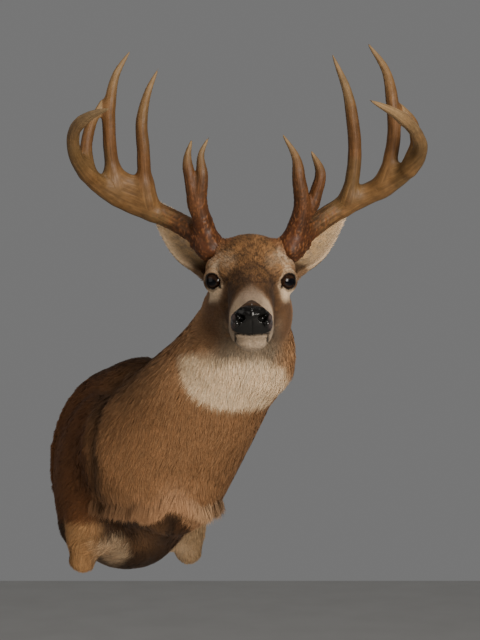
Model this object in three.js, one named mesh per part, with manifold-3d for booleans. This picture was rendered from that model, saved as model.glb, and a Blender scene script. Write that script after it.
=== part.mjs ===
// Whitetail buck shoulder mount, life size, as a still wall piece.
// Millimetres, +Z up. The origin is the centre of the back board's wall face, the wall is the plane
// y = 0, the mount looks along -Y, and +X is the buck's left.
// Flesh is one field of rounded masses, out to the tips of the coat, netted into a closed surface and
// parted with thin cuts. Antlers, ears, eyes and the board are solids of their own.
import * as THREE from 'three';
import { mergeVertices } from 'three/addons/utils/BufferGeometryUtils.js';
import Module from 'manifold-3d';

const wasm = await Module();
wasm.setup();

// ---------------------------------------------------------------- driving dimensions
const GAP = 0.3;                      // clear space between neighbouring solids
const FAR = 900;                      // reach of a cutting block, past the whole mount

const BODY_TURN = 32;                 // degrees the trunk turns from the wall normal towards +X
const TRUNK_ORIGIN = [-14, 0, 16];
const HEAD_ORIGIN = [245.8, -449.6, 315.2];   // midway between the two eyeballs
const HEAD_PITCH = 22.6;              // degrees the muzzle drops below level

const BODY_CELL = 33;                 // size of a net cell on trunk and neck
const HEAD_CELL = 14;                 // size of a net cell on the head

const NECK_BASE = { at: [84, -188, 30], radius: 141 };
const NECK_MIDDLE = { at: [225, -322, 203], radius: 92 };
const NECK_TOP = { at: [240, -354, 264], radius: 76 };
const NECK_WIDE = 1.07;               // the neck is this much wider than it is deep

const EYE_RADIUS = 19.5;
const EYE_SIDE = 53;                  // eyeball centre from the middle of the head
const EYE_GAZE = [0.54, 0.84, 0.06];   // where the buck's left eye looks, in head axes
const LID_OPENING = { along: 22, across: 22, upright: 14 };

const EAR_LENGTH = 180;
const EAR_HALF_WIDTH = 39;
const EAR_THICKNESS = 7;

const BURR_RADIUS = 26;
const BEAM_RADIUS = 17;
const BEAM_TIP_RADIUS = 9.5;

const BOARD = { halfWidth: 140, halfHeight: 182, depth: 18 };
const HANGER = { width: 26, height: 76, thickness: 2.5, z: 96, keyhole: 6, slot: 3 };
const HANGER_RELIEF = { width: 20, height: 46, depth: 9, z: 99 };

// ---------------------------------------------------------------- small vector helpers
const radians = (degrees) => THREE.MathUtils.degToRad(degrees);
const vector = (v) => new THREE.Vector3(...v);
const mix = THREE.MathUtils.lerp;
const smoothstep = THREE.MathUtils.smoothstep;

// Head axes: X to the buck's left, Y forward along the muzzle, Z up through the crown.
const forward = vector([0, -Math.cos(radians(HEAD_PITCH)), -Math.sin(radians(HEAD_PITCH))]);
const left = vector([1, 0, 0]);
const crown = new THREE.Vector3().crossVectors(forward, left);
const headFrame = new THREE.Matrix4().makeBasis(left, forward, crown).setPosition(...HEAD_ORIGIN);
const headFrameInverse = headFrame.clone().invert();

// Trunk axes: X to the buck's left side, Y towards its chest, Z up.
const turn = radians(BODY_TURN);
const trunkFrame = new THREE.Matrix4()
  .makeBasis(vector([Math.cos(turn), Math.sin(turn), 0]), vector([Math.sin(turn), -Math.cos(turn), 0]),
    vector([0, 0, 1]))
  .setPosition(...TRUNK_ORIGIN);
const trunkFrameInverse = trunkFrame.clone().invert();

// ---------------------------------------------------------------- rounded masses
// Distance to a stretched ball, tilted about its side axis.
function ball(centre, radii, blend, tilt = 0) {
  const c = Math.cos(radians(tilt));
  const s = Math.sin(radians(tilt));
  const distance = (x, y, z) => {
    const dx = x - centre[0];
    const dy = (y - centre[1]) * c + (z - centre[2]) * s;
    const dz = (z - centre[2]) * c - (y - centre[1]) * s;
    const near = Math.hypot(dx / radii[0], dy / radii[1], dz / radii[2]);
    const slope = Math.hypot(dx / radii[0] ** 2, dy / radii[1] ** 2, dz / radii[2] ** 2);
    return near * (near - 1) / Math.max(slope, 1e-9);
  };
  return { blend, distance };
}

// Distance to a tapered limb; wide is how much fatter it is across than upright.
function limb(a, radiusA, b, radiusB, blend, wide = 1) {
  const axis = [b[0] - a[0], b[1] - a[1], b[2] - a[2]];
  const lengthSquared = axis[0] ** 2 + axis[1] ** 2 + axis[2] ** 2;
  const distance = (x, y, z) => {
    const q = [x - a[0], y - a[1], z - a[2]];
    const along = (q[0] * axis[0] + q[1] * axis[1] + q[2] * axis[2]) / lengthSquared;
    const t = THREE.MathUtils.clamp(along, 0, 1);
    const across = (q[0] - t * axis[0]) / wide;
    return Math.hypot(across, q[1] - t * axis[1], q[2] - t * axis[2]) - mix(radiusA, radiusB, t);
  };
  return { blend, distance };
}

function softMin(a, b, blend) {
  const h = Math.max(blend - Math.abs(a - b), 0) / blend;
  return Math.min(a, b) - h * h * blend * 0.25;
}

const blended = (masses) => (x, y, z) =>
  masses.reduce((sum, mass) => softMin(sum, mass.distance(x, y, z), mass.blend || 1), 1e4);

// The head's masses, given for the buck's left side and mirrored to the right.
const headMasses = {
  skull: ball([0, -40, 2], [60, 70, 56], 1),
  crown: ball([0, -52, 26], [52, 50, 32], 30),
  nasal: limb([0, 24, 9], 34, [0, 158, -9], 21, 30, 1.05),
  muzzle: limb([0, 40, -24], 40, [0, 156, -27], 27, 24, 1.06),
  masseter: ball([37, -16, -46], [28, 54, 48], 24),
  cheekbone: limb([35, 44, -22], 15, [57, -36, -4], 18, 20),
  jaw: limb([20, -20, -76], 27, [8, 138, -48], 15, 26),
  brow: limb([36, 22, 20], 13, [57, -24, 14], 17, 16),
  orbit: ball([EYE_SIDE, 0, 0], [22.5, 22.5, 21], 12),
  pedicle: limb([38, -58, 28], 22, [57, -60, 40], 18, 16),
  earButt: limb([46, -74, 4], 26, [64, -92, 22], 22, 20),
  nose: ball([0, 174, -17], [30, 19, 24], 10),
  chin: ball([0, 154, -51], [20, 25, 13], 12),
};

const trunkMasses = {
  ribCage: ball([2, -40, -12], [130, 330, 200], 1),
  withers: ball([-8, 120, 120], [60, 120, 76], 50),
  chestFloor: ball([0, 20, -140], [84, 150, 80], 30),
  rightShoulder: ball([-82, 58, -32], [68, 112, 165], 26, -24),
  leftShoulder: ball([84, 62, -30], [68, 112, 165], 26, -24),
  rightLeg: limb([-100, 96, -120], 48, [-113, 88, -178], 33, 30),
  leftLeg: limb([92, 108, -120], 48, [93, 116, -176], 33, 30),
};

const neckMasses = {
  lower: limb(NECK_BASE.at, NECK_BASE.radius, NECK_MIDDLE.at, NECK_MIDDLE.radius, 1, NECK_WIDE),
  upper: limb(NECK_MIDDLE.at, NECK_MIDDLE.radius, NECK_TOP.at, NECK_TOP.radius, 24, NECK_WIDE),
};
const brisket = ball([114, -250, -50], [66, 64, 62], 36);

const headField = blended(Object.values(headMasses));
const trunkField = blended(Object.values(trunkMasses));
const neckField = blended(Object.values(neckMasses));

const probe = new THREE.Vector3();
function flesh(x, y, z) {
  probe.set(x, y, z).applyMatrix4(trunkFrameInverse);
  let d = softMin(trunkField(probe.x, probe.y, probe.z), neckField(x, y, z), 36);
  d = softMin(d, brisket.distance(x, y, z), brisket.blend);
  probe.set(x, y, z).applyMatrix4(headFrameInverse);
  return softMin(d, headField(Math.abs(probe.x), probe.y, probe.z), 34);
}

// ---------------------------------------------------------------- a net over a field
// One vertex for each grid cell that the surface crosses, one quad for each grid edge that it cuts,
// then three steps that bring every vertex onto the surface inside its cell. The net closes in its box.
function net(openField, low, high, cell) {
  const field = (x, y, z) => [x, y, z].reduce((d, v, axis) =>
    Math.max(d, low[axis] + 1.4 * cell - v, v - high[axis] + 1.4 * cell), openField(x, y, z));
  const count = low.map((v, i) => Math.ceil((high[i] - v) / cell) + 1);
  const at = (i, j, k) => (i * count[1] + j) * count[2] + k;
  const place = (n, axis) => low[axis] + n * cell;
  const value = new Float64Array(count[0] * count[1] * count[2]);
  for (let i = 0; i < count[0]; i++) {
    for (let j = 0; j < count[1]; j++) {
      for (let k = 0; k < count[2]; k++) {
        value[at(i, j, k)] = field(place(i, 0), place(j, 1), place(k, 2));
      }
    }
  }
  const steps = [[1, 0, 0], [0, 1, 0], [0, 0, 1]];
  const vertexOf = new Map();
  const vertices = [];
  const cells = [];
  const cellVertex = (i, j, k) => {
    const key = at(i, j, k);
    if (!vertexOf.has(key)) {
      const sum = [0, 0, 0];
      let crossings = 0;
      for (let corner = 0; corner < 8; corner++) {
        const c = [i + (corner & 1), j + ((corner >> 1) & 1), k + (corner >> 2)];
        for (const s of steps) {
          const d = [c[0] + s[0], c[1] + s[1], c[2] + s[2]];
          if (d[0] > i + 1 || d[1] > j + 1 || d[2] > k + 1) continue;
          const a = value[at(...c)];
          const b = value[at(...d)];
          if (a < 0 === b < 0) continue;
          const t = a / (a - b);
          for (let axis = 0; axis < 3; axis++) sum[axis] += place(c[axis] + t * s[axis], axis);
          crossings++;
        }
      }
      vertexOf.set(key, vertices.length);
      vertices.push(sum.map((v) => v / crossings));
      cells.push([i, j, k]);
    }
    return vertexOf.get(key);
  };
  const index = [];
  for (let i = 1; i < count[0] - 1; i++) {
    for (let j = 1; j < count[1] - 1; j++) {
      for (let k = 1; k < count[2] - 1; k++) {
        steps.forEach((s, axis) => {
          const inside = value[at(i, j, k)] < 0;
          if (inside === value[at(i + s[0], j + s[1], k + s[2])] < 0) return;
          const u = steps[(axis + 1) % 3];
          const v = steps[(axis + 2) % 3];
          const quad = [[1, 1], [0, 1], [0, 0], [1, 0]].map(([m, n]) =>
            cellVertex(i - m * u[0] - n * v[0], j - m * u[1] - n * v[1], k - m * u[2] - n * v[2]));
          if (!inside) quad.reverse();
          index.push(quad[0], quad[1], quad[2], quad[0], quad[2], quad[3]);
        });
      }
    }
  }
  const h = 0.5;
  const margin = 0.06;
  for (const [n, p] of vertices.entries()) {
    for (let pass = 0; pass < 3; pass++) {
      const d = field(...p);
      const slope = steps.map((s) =>
        (field(p[0] + s[0] * h, p[1] + s[1] * h, p[2] + s[2] * h) - d) / h);
      const size = slope[0] ** 2 + slope[1] ** 2 + slope[2] ** 2;
      const step = THREE.MathUtils.clamp(d / size, -cell * 0.4, cell * 0.4);
      for (let axis = 0; axis < 3; axis++) {
        p[axis] = THREE.MathUtils.clamp(p[axis] - step * slope[axis],
          place(cells[n][axis] + margin, axis), place(cells[n][axis] + 1 - margin, axis));
      }
    }
  }
  const geometry = new THREE.BufferGeometry();
  geometry.setAttribute('position', new THREE.Float32BufferAttribute(vertices.flat(), 3));
  geometry.setIndex(index);
  return geometry;
}

// The same net with every vertex moved straight out of the surface.
function swollen(geometry, amount) {
  const swell = geometry.clone();
  swell.computeVertexNormals();
  const position = swell.getAttribute('position');
  const normal = swell.getAttribute('normal');
  for (let i = 0; i < position.count; i++) {
    position.setXYZ(i, position.getX(i) + amount * normal.getX(i),
      position.getY(i) + amount * normal.getY(i), position.getZ(i) + amount * normal.getZ(i));
  }
  return swell;
}

// ---------------------------------------------------------------- solids
function solid(geometry) {
  const bare = new THREE.BufferGeometry();
  bare.setAttribute('position', geometry.getAttribute('position').clone());
  const order = geometry.index ?? [...Array(geometry.getAttribute('position').count).keys()];
  bare.setIndex(order.array ? [...order.array] : order);
  const merged = mergeVertices(bare, 1e-4);
  const corners = merged.index.array;
  const kept = [];
  for (let i = 0; i < corners.length; i += 3) {
    const [a, b, c] = [corners[i], corners[i + 1], corners[i + 2]];
    if (a !== b && b !== c && c !== a) kept.push(a, b, c);
  }
  return new wasm.Manifold(new wasm.Mesh({
    numProp: 3,
    vertProperties: new Float32Array(merged.getAttribute('position').array),
    triVerts: new Uint32Array(kept),
  }));
}

function shape(manifold) {
  const mesh = manifold.getMesh();
  const geometry = new THREE.BufferGeometry();
  geometry.setAttribute('position', new THREE.BufferAttribute(mesh.vertProperties, 3));
  geometry.setIndex(new THREE.BufferAttribute(mesh.triVerts, 1));
  return geometry;
}

// The half of space that lies behind a plane, as a block; the plane faces along its normal.
function behind(point, normal, offset = 0) {
  const n = vector(normal).normalize();
  const block = new THREE.BoxGeometry(2 * FAR, 2 * FAR, 2 * FAR);
  const turned = new THREE.Quaternion().setFromUnitVectors(vector([0, 0, 1]), n);
  const centre = vector(point).addScaledVector(n, offset - FAR);
  block.applyMatrix4(new THREE.Matrix4().compose(centre, turned, vector([1, 1, 1])));
  return solid(block);
}

// Parts a solid at a plane, leaving the gap between its two sides.
function part(whole, point, normal) {
  const back = whole.intersect(behind(point, normal, -GAP / 2));
  const front = whole.subtract(behind(point, normal, GAP / 2));
  return { back, front };
}

const headPoint = (p) => vector(p).applyMatrix4(headFrame).toArray();
const headDirection = (d) => vector(d).transformDirection(headFrame).toArray();
const trunkPoint = (p) => vector(p).applyMatrix4(trunkFrame).toArray();

// A round bar bent along a curve, with its radius a function of the way along it.
function bentBar(points, radius, rings, sides) {
  const curve = new THREE.CatmullRomCurve3(points.map(vector));
  const bar = new THREE.CylinderGeometry(1, 1, 1, sides, rings);
  const frames = curve.computeFrenetFrames(rings, false);
  const position = bar.getAttribute('position');
  for (let i = 0; i < position.count; i++) {
    const t = position.getY(i) + 0.5;
    const ring = Math.round(t * rings);
    const size = radius(t);
    const p = curve.getPointAt(t)
      .addScaledVector(frames.normals[ring], position.getX(i) * size)
      .addScaledVector(frames.binormals[ring], -position.getZ(i) * size);
    position.setXYZ(i, p.x, p.y, p.z);
  }
  return bar;
}

// ---------------------------------------------------------------- antlers
// Centre lines in head axes, from the burr to each tip. The two sides grew differently.
const ANTLERS = {
  right: {
    beam: [[-65, -65, 38], [-102, -100, 61], [-152, -124, 82], [-206, -121, 104], [-250, -91, 139],
      [-275, -43, 187], [-270, 5, 234], [-240, 53, 263], [-203, 90, 279]],
    brow_inner: [[-70, -71, 50], [-83, -61, 110], [-78, -56, 159], [-79, -60, 191], [-66, -68, 220]],
    brow_outer: [[-82, -62, 106], [-94, -57, 154], [-98, -59, 186], [-91, -68, 215]],
    tine_2: [[-166, -118, 84], [-175, -113, 142], [-176, -108, 192], [-177, -107, 238],
      [-166, -111, 285], [-149, -117, 321]],
    tine_3: [[-220, -108, 112], [-228, -106, 168], [-230, -100, 217], [-227, -100, 265],
      [-216, -104, 312], [-193, -110, 349]],
    tine_4: [[-262, -72, 160], [-265, -75, 197], [-258, -82, 232], [-241, -96, 269]],
  },
  left: {
    beam: [[66, -65, 37], [104, -101, 64], [153, -128, 91], [202, -126, 118], [246, -95, 151],
      [268, -47, 197], [250, 4, 236], [213, 52, 267], [169, 87, 290]],
    brow_inner: [[72, -70, 48], [84, -59, 105], [78, -53, 152], [73, -57, 186], [49, -66, 226]],
    brow_outer: [[87, -66, 90], [102, -67, 128], [112, -67, 161], [97, -73, 197]],
    tine_2: [[160, -120, 92], [170, -113, 142], [172, -108, 192], [167, -107, 238],
      [157, -111, 285], [132, -125, 344]],
    tine_3: [[220, -112, 124], [230, -103, 176], [234, -100, 217], [230, -98, 261],
      [218, -106, 317], [187, -115, 362]],
    tine_4: [[258, -72, 164], [266, -70, 205], [260, -87, 240], [243, -110, 265]],
  },
};
const TINES = {
  brow_inner: { root: 15, end: 9, rings: 7, sides: 6 },
  brow_outer: { root: 11, end: 8, rings: 6, sides: 6 },
  tine_2: { root: 14, end: 8.5, rings: 8, sides: 6 },
  tine_3: { root: 13.5, end: 8.5, rings: 8, sides: 6 },
  tine_4: { root: 11, end: 8, rings: 6, sides: 6 },
};
const TIP_RADIUS = 1.2;
// Bone that fills the fork between the second and third tines of the right antler.
const WEBS = {
  right: [
    { line: [[-174, -115, 111], [-199, -112, 121], [-226, -107, 133]], radius: 12 },
    { line: [[-174, -114, 127], [-199, -110, 136], [-226, -106, 150]], radius: 11 },
  ],
  left: [],
};
// The beam is parted at its main forks, as shares of its length.
const BEAM_FORKS = { mid: 0.17, upper: 0.43, tip: 0.66 };

function beamRadius(t) {
  const body = mix(BEAM_RADIUS, BEAM_TIP_RADIUS, smoothstep(t, 0.35, 0.8));
  const burr = (BURR_RADIUS - BEAM_RADIUS) * Math.exp(-((t / 0.045) ** 2));
  const point = Math.min(1, ((1 - t) / 0.16) ** 0.6);
  return Math.max(TIP_RADIUS, (body + burr) * point);
}

const tineRadius = ({ root, end }) => (t) => {
  const point = Math.min(1, ((1 - t) / 0.35) ** 0.55);
  return Math.max(TIP_RADIUS, mix(root, end, t) * point);
};

function antler(side, seat) {
  const lines = ANTLERS[side];
  const inWorld = (points) => points.map(headPoint);
  const beamLine = inWorld(lines.beam);
  const beamRings = 18;
  const beamSides = 8;
  const beam = solid(bentBar(beamLine, beamRadius, beamRings, beamSides));
  const beamClear = solid(bentBar(beamLine, (t) => beamRadius(t) + GAP, beamRings, beamSides));
  const pieces = {};

  let rest = beam.subtract(seat);
  const curve = new THREE.CatmullRomCurve3(beamLine.map(vector));
  let name = 'base';
  for (const [next, share] of Object.entries(BEAM_FORKS)) {
    const direction = curve.getTangentAt(share);
    const cut = discCut(curve.getPointAt(share), direction);
    const halves = rest.subtract(cut).decompose();
    halves.sort((a, b) => order(a, curve) - order(b, curve));
    pieces[`beam_${name}`] = halves[0];
    rest = halves[1];
    name = next;
  }
  pieces[`beam_${name}`] = rest;

  const browClear = solid(bentBar(inWorld(lines.brow_inner),
    (t) => tineRadius(TINES.brow_inner)(t) + GAP, TINES.brow_inner.rings, TINES.brow_inner.sides));
  for (const [tine, size] of Object.entries(TINES)) {
    let bar = solid(bentBar(inWorld(lines[tine]), tineRadius(size), size.rings, size.sides));
    if (tine === 'tine_3') {
      for (const web of WEBS[side]) bar = bar.add(solid(bentBar(inWorld(web.line), () => web.radius, 2, 6)));
      bar = bar.subtract(solid(bentBar(inWorld(lines.tine_2), (t) => tineRadius(TINES.tine_2)(t) + GAP,
        TINES.tine_2.rings, TINES.tine_2.sides)));
    }
    let grown = bar.subtract(beamClear).subtract(seat);
    if (tine === 'brow_outer') grown = grown.subtract(browClear);
    pieces[tine] = largest(grown);
  }
  return pieces;
}

// A thin disc across a beam, which parts it there and touches nothing else.
function discCut(point, direction) {
  const disc = new THREE.CylinderGeometry(BURR_RADIUS * 1.6, BURR_RADIUS * 1.6, GAP, 12);
  const turned = new THREE.Quaternion().setFromUnitVectors(vector([0, 1, 0]), direction);
  disc.applyMatrix4(new THREE.Matrix4().compose(point, turned, vector([1, 1, 1])));
  return solid(disc);
}

// How far along a curve a piece's first vertex lies.
function order(piece, curve) {
  const p = vector([...piece.getMesh().vertProperties.slice(0, 3)]);
  const samples = curve.getSpacedPoints(80);
  return samples.reduce((best, s, i) => (s.distanceTo(p) < samples[best].distanceTo(p) ? i : best), 0);
}

function largest(manifold) {
  const pieces = manifold.decompose();
  return pieces.reduce((a, b) => (a.volume() > b.volume() ? a : b));
}

// ---------------------------------------------------------------- ears
// A leaf cupped forwards; along runs from the butt to the tip, w from the upper rim to the lower rim.
const EAR = {
  base: [59, -96, 1],
  axis: [0.65, -0.55, 0.515],         // from the butt to the tip, in head axes
  across: [0.68, 0.14, -0.715],       // from the upper rim to the lower rim
};

function earWidth(s) {
  const swell = Math.sin(Math.PI * Math.min(1, 0.27 + s * 0.57) ** 0.9);
  const taper = Math.max(0, 1 - s ** 3.2) ** 0.75;
  return EAR_HALF_WIDTH * swell * taper;
}

function ear(side) {
  const axis = vector(EAR.axis).normalize();
  const across = vector(EAR.across);
  across.addScaledVector(axis, -across.dot(axis)).normalize();
  const hollow = new THREE.Vector3().crossVectors(axis, across).normalize();
  const leaf = new THREE.SphereGeometry(1, 12, 9);
  const position = leaf.getAttribute('position');
  for (let i = 0; i < position.count; i++) {
    const along = (1 - position.getY(i)) / 2;
    const ring = Math.hypot(position.getX(i), position.getZ(i));
    const w = ring > 1e-6 ? position.getX(i) / ring : 0;
    const skin = ring > 1e-6 ? position.getZ(i) / ring : 0;
    const half = Math.max(earWidth(along), 0.5) * (ring > 1e-6 ? 1 : 0);
    const cup = mix(20, 8, smoothstep(along, 0, 0.9));
    const thick = EAR_THICKNESS * 0.5 * (1 + 2.2 * (1 - along) ** 4) * (ring > 1e-6 ? 1 : 0);
    const p = vector(EAR.base)
      .addScaledVector(axis, EAR_LENGTH * along)
      .addScaledVector(across, half * w)
      .addScaledVector(hollow, cup * (w * w - 0.35) + thick * skin - 10 * Math.sin(Math.PI * along));
    if (side === 'right') p.x = -p.x;
    p.applyMatrix4(headFrame);
    position.setXYZ(i, p.x, p.y, p.z);
  }
  if (side === 'left') {
    const index = leaf.index;
    for (let i = 0; i < index.count; i += 3) {
      const a = index.getX(i);
      index.setX(i, index.getX(i + 1));
      index.setX(i + 1, a);
    }
  }
  return solid(leaf);
}

// ---------------------------------------------------------------- eyes
const mirrored = (side, v) => (side === 'left' ? v : [-v[0], v[1], v[2]]);

function eyeball(side, radius) {
  const globe = new THREE.SphereGeometry(radius, 12, 8);
  globe.translate(...headPoint(mirrored(side, [EYE_SIDE, 0, 0])));
  return solid(globe);
}

// The opening between the lids, an egg that reaches out of the socket along the gaze.
function lidOpening(side) {
  const gaze = vector(headDirection(mirrored(side, EYE_GAZE)));
  const upright = vector(headDirection([0, 0, 1]));
  const along = new THREE.Vector3().crossVectors(upright, gaze).normalize();
  upright.crossVectors(gaze, along);
  const egg = new THREE.SphereGeometry(1, 10, 8);
  egg.scale(LID_OPENING.across, LID_OPENING.upright, LID_OPENING.along);
  const centre = vector(headPoint(mirrored(side, [EYE_SIDE, 0, 0])));
  centre.addScaledVector(gaze, EYE_RADIUS + 2);
  egg.applyMatrix4(new THREE.Matrix4().makeBasis(along, upright, gaze).setPosition(centre));
  return solid(egg);
}

// ---------------------------------------------------------------- board and hanger
function boardBlank(grow, depth) {
  const outline = new THREE.Shape();
  outline.absellipse(0, 0, BOARD.halfWidth + grow, BOARD.halfHeight + grow, 0, 2 * Math.PI);
  const blank = new THREE.ExtrudeGeometry(outline, { depth, bevelEnabled: false, curveSegments: 12 });
  blank.rotateX(Math.PI / 2);
  return solid(blank);
}

// A block set into the board from the wall side, its face flush with the wall.
function hangerBlock(grow) {
  const block = new THREE.BoxGeometry(HANGER.width + 2 * grow, HANGER.thickness + grow + 1,
    HANGER.height + 2 * grow);
  block.translate(0, -(HANGER.thickness + grow - 1) / 2, HANGER.z);
  return solid(block);
}

function hangerPlate() {
  const outline = new THREE.Shape();
  const x = HANGER.width / 2;
  const z = HANGER.height / 2;
  outline.moveTo(-x, -z);
  outline.lineTo(x, -z);
  outline.lineTo(x, z);
  outline.lineTo(-x, z);
  outline.closePath();
  const keyhole = new THREE.Path();
  const rise = Math.sqrt(HANGER.keyhole ** 2 - HANGER.slot ** 2);
  keyhole.absarc(0, -rise, HANGER.keyhole, Math.PI / 2 + Math.asin(HANGER.slot / HANGER.keyhole),
    Math.PI / 2 - Math.asin(HANGER.slot / HANGER.keyhole), false);
  keyhole.absarc(0, 2.5 * HANGER.keyhole, HANGER.slot, 0, Math.PI, false);
  keyhole.closePath();
  outline.holes.push(keyhole);
  const plate = new THREE.ExtrudeGeometry(outline, {
    depth: HANGER.thickness, bevelEnabled: false, curveSegments: 5,
  });
  plate.rotateX(Math.PI / 2);
  plate.translate(0, 0, HANGER.z);
  return solid(plate);
}

// ---------------------------------------------------------------- the flesh and its parts
const LEG_CELL = 19;
const LEG_NET_FLOOR = -290;
// Where each leg is parted from the trunk: a round cut in trunk axes, down from its top.
const LEG_ZONE = {
  right: { at: [-110, 90], top: -148, radius: 50 },
  left: { at: [94, 114], top: -148, radius: 50 },
};
const BODY_LOW = [-260, -560, -300];
const BODY_HIGH = [400, 110, 420];
const HEAD_LOW = [130, -680, 125];
const HEAD_HIGH = [362, -250, 430];

const wall = behind([0, 0, 0], [0, 1, 0]);
const bodyNet = solid(net(flesh, BODY_LOW, BODY_HIGH, BODY_CELL)).intersect(wall);
const headSurface = net(flesh, HEAD_LOW, HEAD_HIGH, HEAD_CELL);
const headNet = solid(headSurface);
const headSeat = solid(swollen(headSurface, 1.5 * GAP));

const nodes = {};

// Cuts across the neck, each with its normal pointing on towards the head.
const NAPE = { at: [246, -345, 300], normal: [0, -0.9, 0.44] };
const THROAT = { at: [246, -405, 215], normal: [0, -0.3, 0.954] };
const NECK_HALF = { at: [186, -302, 146], normal: [0.5, -0.55, 0.66] };
const NECK_ROOT = { at: [104, -212, 44], normal: [0.52, -0.68, 0.52] };

const opposite = (v) => v.map((component) => -component);
const headZone = (shrink) => behind(NAPE.at, opposite(NAPE.normal), -shrink)
  .intersect(behind(THROAT.at, opposite(THROAT.normal), -shrink));
const belowHead = bodyNet.subtract(headZone(0));
const neckUpper = part(belowHead, NECK_HALF.at, NECK_HALF.normal);
const neckLower = part(neckUpper.back, NECK_ROOT.at, NECK_ROOT.normal);
nodes.neck_upper = largest(neckUpper.front);
nodes.neck_lower = largest(neckLower.front);

const boardPocket = boardBlank(GAP, BOARD.depth + GAP);
let trunk = neckLower.back.subtract(boardPocket);
const frontOfBoard = behind([0, -BOARD.depth - GAP, 0], [0, 1, 0]);
for (const [side, zone] of Object.entries(LEG_ZONE)) {
  const height = 2 * (zone.top - LEG_NET_FLOOR);
  const zoneBlock = (shrink) => {
    const block = new THREE.CylinderGeometry(zone.radius - shrink, zone.radius - shrink, height, 16);
    block.rotateX(Math.PI / 2);
    block.translate(...trunkPoint([...zone.at, zone.top - height / 2 - shrink]));
    return solid(block);
  };
  const [x, y, z] = trunkPoint([...zone.at, zone.top]);
  const reach = zone.radius + 2 * LEG_CELL;
  const legNet = net(flesh, [x - reach, y - reach, z + LEG_NET_FLOOR - zone.top],
    [x + reach, y + reach, z + 3 * LEG_CELL], LEG_CELL);
  nodes[`upper_leg_${side}`] = largest(solid(legNet).intersect(zoneBlock(GAP)).intersect(frontOfBoard));
  trunk = trunk.subtract(zoneBlock(0));
}
nodes.trunk = largest(trunk);

// Head, lower jaw and nose pad.
let head = headNet.intersect(headZone(GAP));
const MOUTH = { at: headPoint([0, 160, -38]), normal: headDirection([0, 0.06, 1]) };
const JAW_BACK = { at: headPoint([0, 6, -70]), normal: headDirection([0, -1, 0.5]) };
const jawZone = (shrink) => behind(MOUTH.at, MOUTH.normal, -shrink)
  .intersect(behind(JAW_BACK.at, JAW_BACK.normal, -shrink));
nodes.lower_jaw = largest(head.intersect(jawZone(GAP)));
head = largest(head.subtract(jawZone(0)));

const NOSE_BACK = { at: headPoint([0, 166, 0]), normal: headDirection([0, -1, -0.35]) };
const NOSE_LIP = { at: headPoint([0, 176, -33]), normal: headDirection([0, 0.1, -1]) };
const noseZone = (shrink) => behind(NOSE_BACK.at, NOSE_BACK.normal, -shrink)
  .intersect(behind(NOSE_LIP.at, NOSE_LIP.normal, -shrink));
nodes.nose_pad = largest(head.intersect(noseZone(GAP)));
head = largest(head.subtract(noseZone(0)));

for (const side of ['right', 'left']) {
  head = head.subtract(eyeball(side, EYE_RADIUS + GAP)).subtract(lidOpening(side));
  nodes[`eye_${side}`] = eyeball(side, EYE_RADIUS);
}
nodes.head = largest(head);

for (const side of ['right', 'left']) {
  const pieces = antler(side, headSeat);
  for (const [name, piece] of Object.entries(pieces)) nodes[`antler_${side}_${name}`] = piece;
  nodes[`ear_${side}`] = largest(ear(side).subtract(headSeat));
}

// Back board, let flush into the form, and the keyhole hanger let into the board.
const relief = new THREE.BoxGeometry(HANGER_RELIEF.width, 2 * HANGER_RELIEF.depth, HANGER_RELIEF.height);
relief.translate(0, 0, HANGER_RELIEF.z);
nodes.back_board = boardBlank(0, BOARD.depth).subtract(hangerBlock(GAP)).subtract(solid(relief));
nodes.hanger_plate = hangerPlate();

// ---------------------------------------------------------------- finishes and the group
const FINISH = {
  coat: { color: 0xa9743f, roughness: 0.85, metalness: 0 },
  face: { color: 0x6f4a2c, roughness: 0.85, metalness: 0 },
  throat: { color: 0xb98a58, roughness: 0.85, metalness: 0 },
  jaw: { color: 0xd9c9ae, roughness: 0.85, metalness: 0 },
  ear: { color: 0xbfa27a, roughness: 0.85, metalness: 0 },
  nose: { color: 0x15110f, roughness: 0.3, metalness: 0 },
  eye: { color: 0x0a0705, roughness: 0.05, metalness: 0 },
  antler: { color: 0xa07a4c, roughness: 0.5, metalness: 0 },
  antlerBase: { color: 0x8a4a22, roughness: 0.5, metalness: 0 },
  board: { color: 0xa98254, roughness: 0.7, metalness: 0 },
  hanger: { color: 0x9a9a98, roughness: 0.45, metalness: 0.9 },
};

const finishOf = (name) => {
  if (/^antler_.*_(beam_base|brow_)/.test(name)) return FINISH.antlerBase;
  if (name.startsWith('antler_')) return FINISH.antler;
  if (name.startsWith('ear_')) return FINISH.ear;
  if (name.startsWith('eye_')) return FINISH.eye;
  const named = {
    head: 'face', lower_jaw: 'jaw', neck_upper: 'throat', nose_pad: 'nose',
    back_board: 'board', hanger_plate: 'hanger',
  };
  return FINISH[named[name] ?? 'coat'];
};

const group = new THREE.Group();
for (const [name, manifold] of Object.entries(nodes)) {
  const mesh = new THREE.Mesh(shape(manifold), new THREE.MeshStandardMaterial(finishOf(name)));
  mesh.name = name;
  group.add(mesh);
}

export default group;
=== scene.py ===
import math

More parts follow.
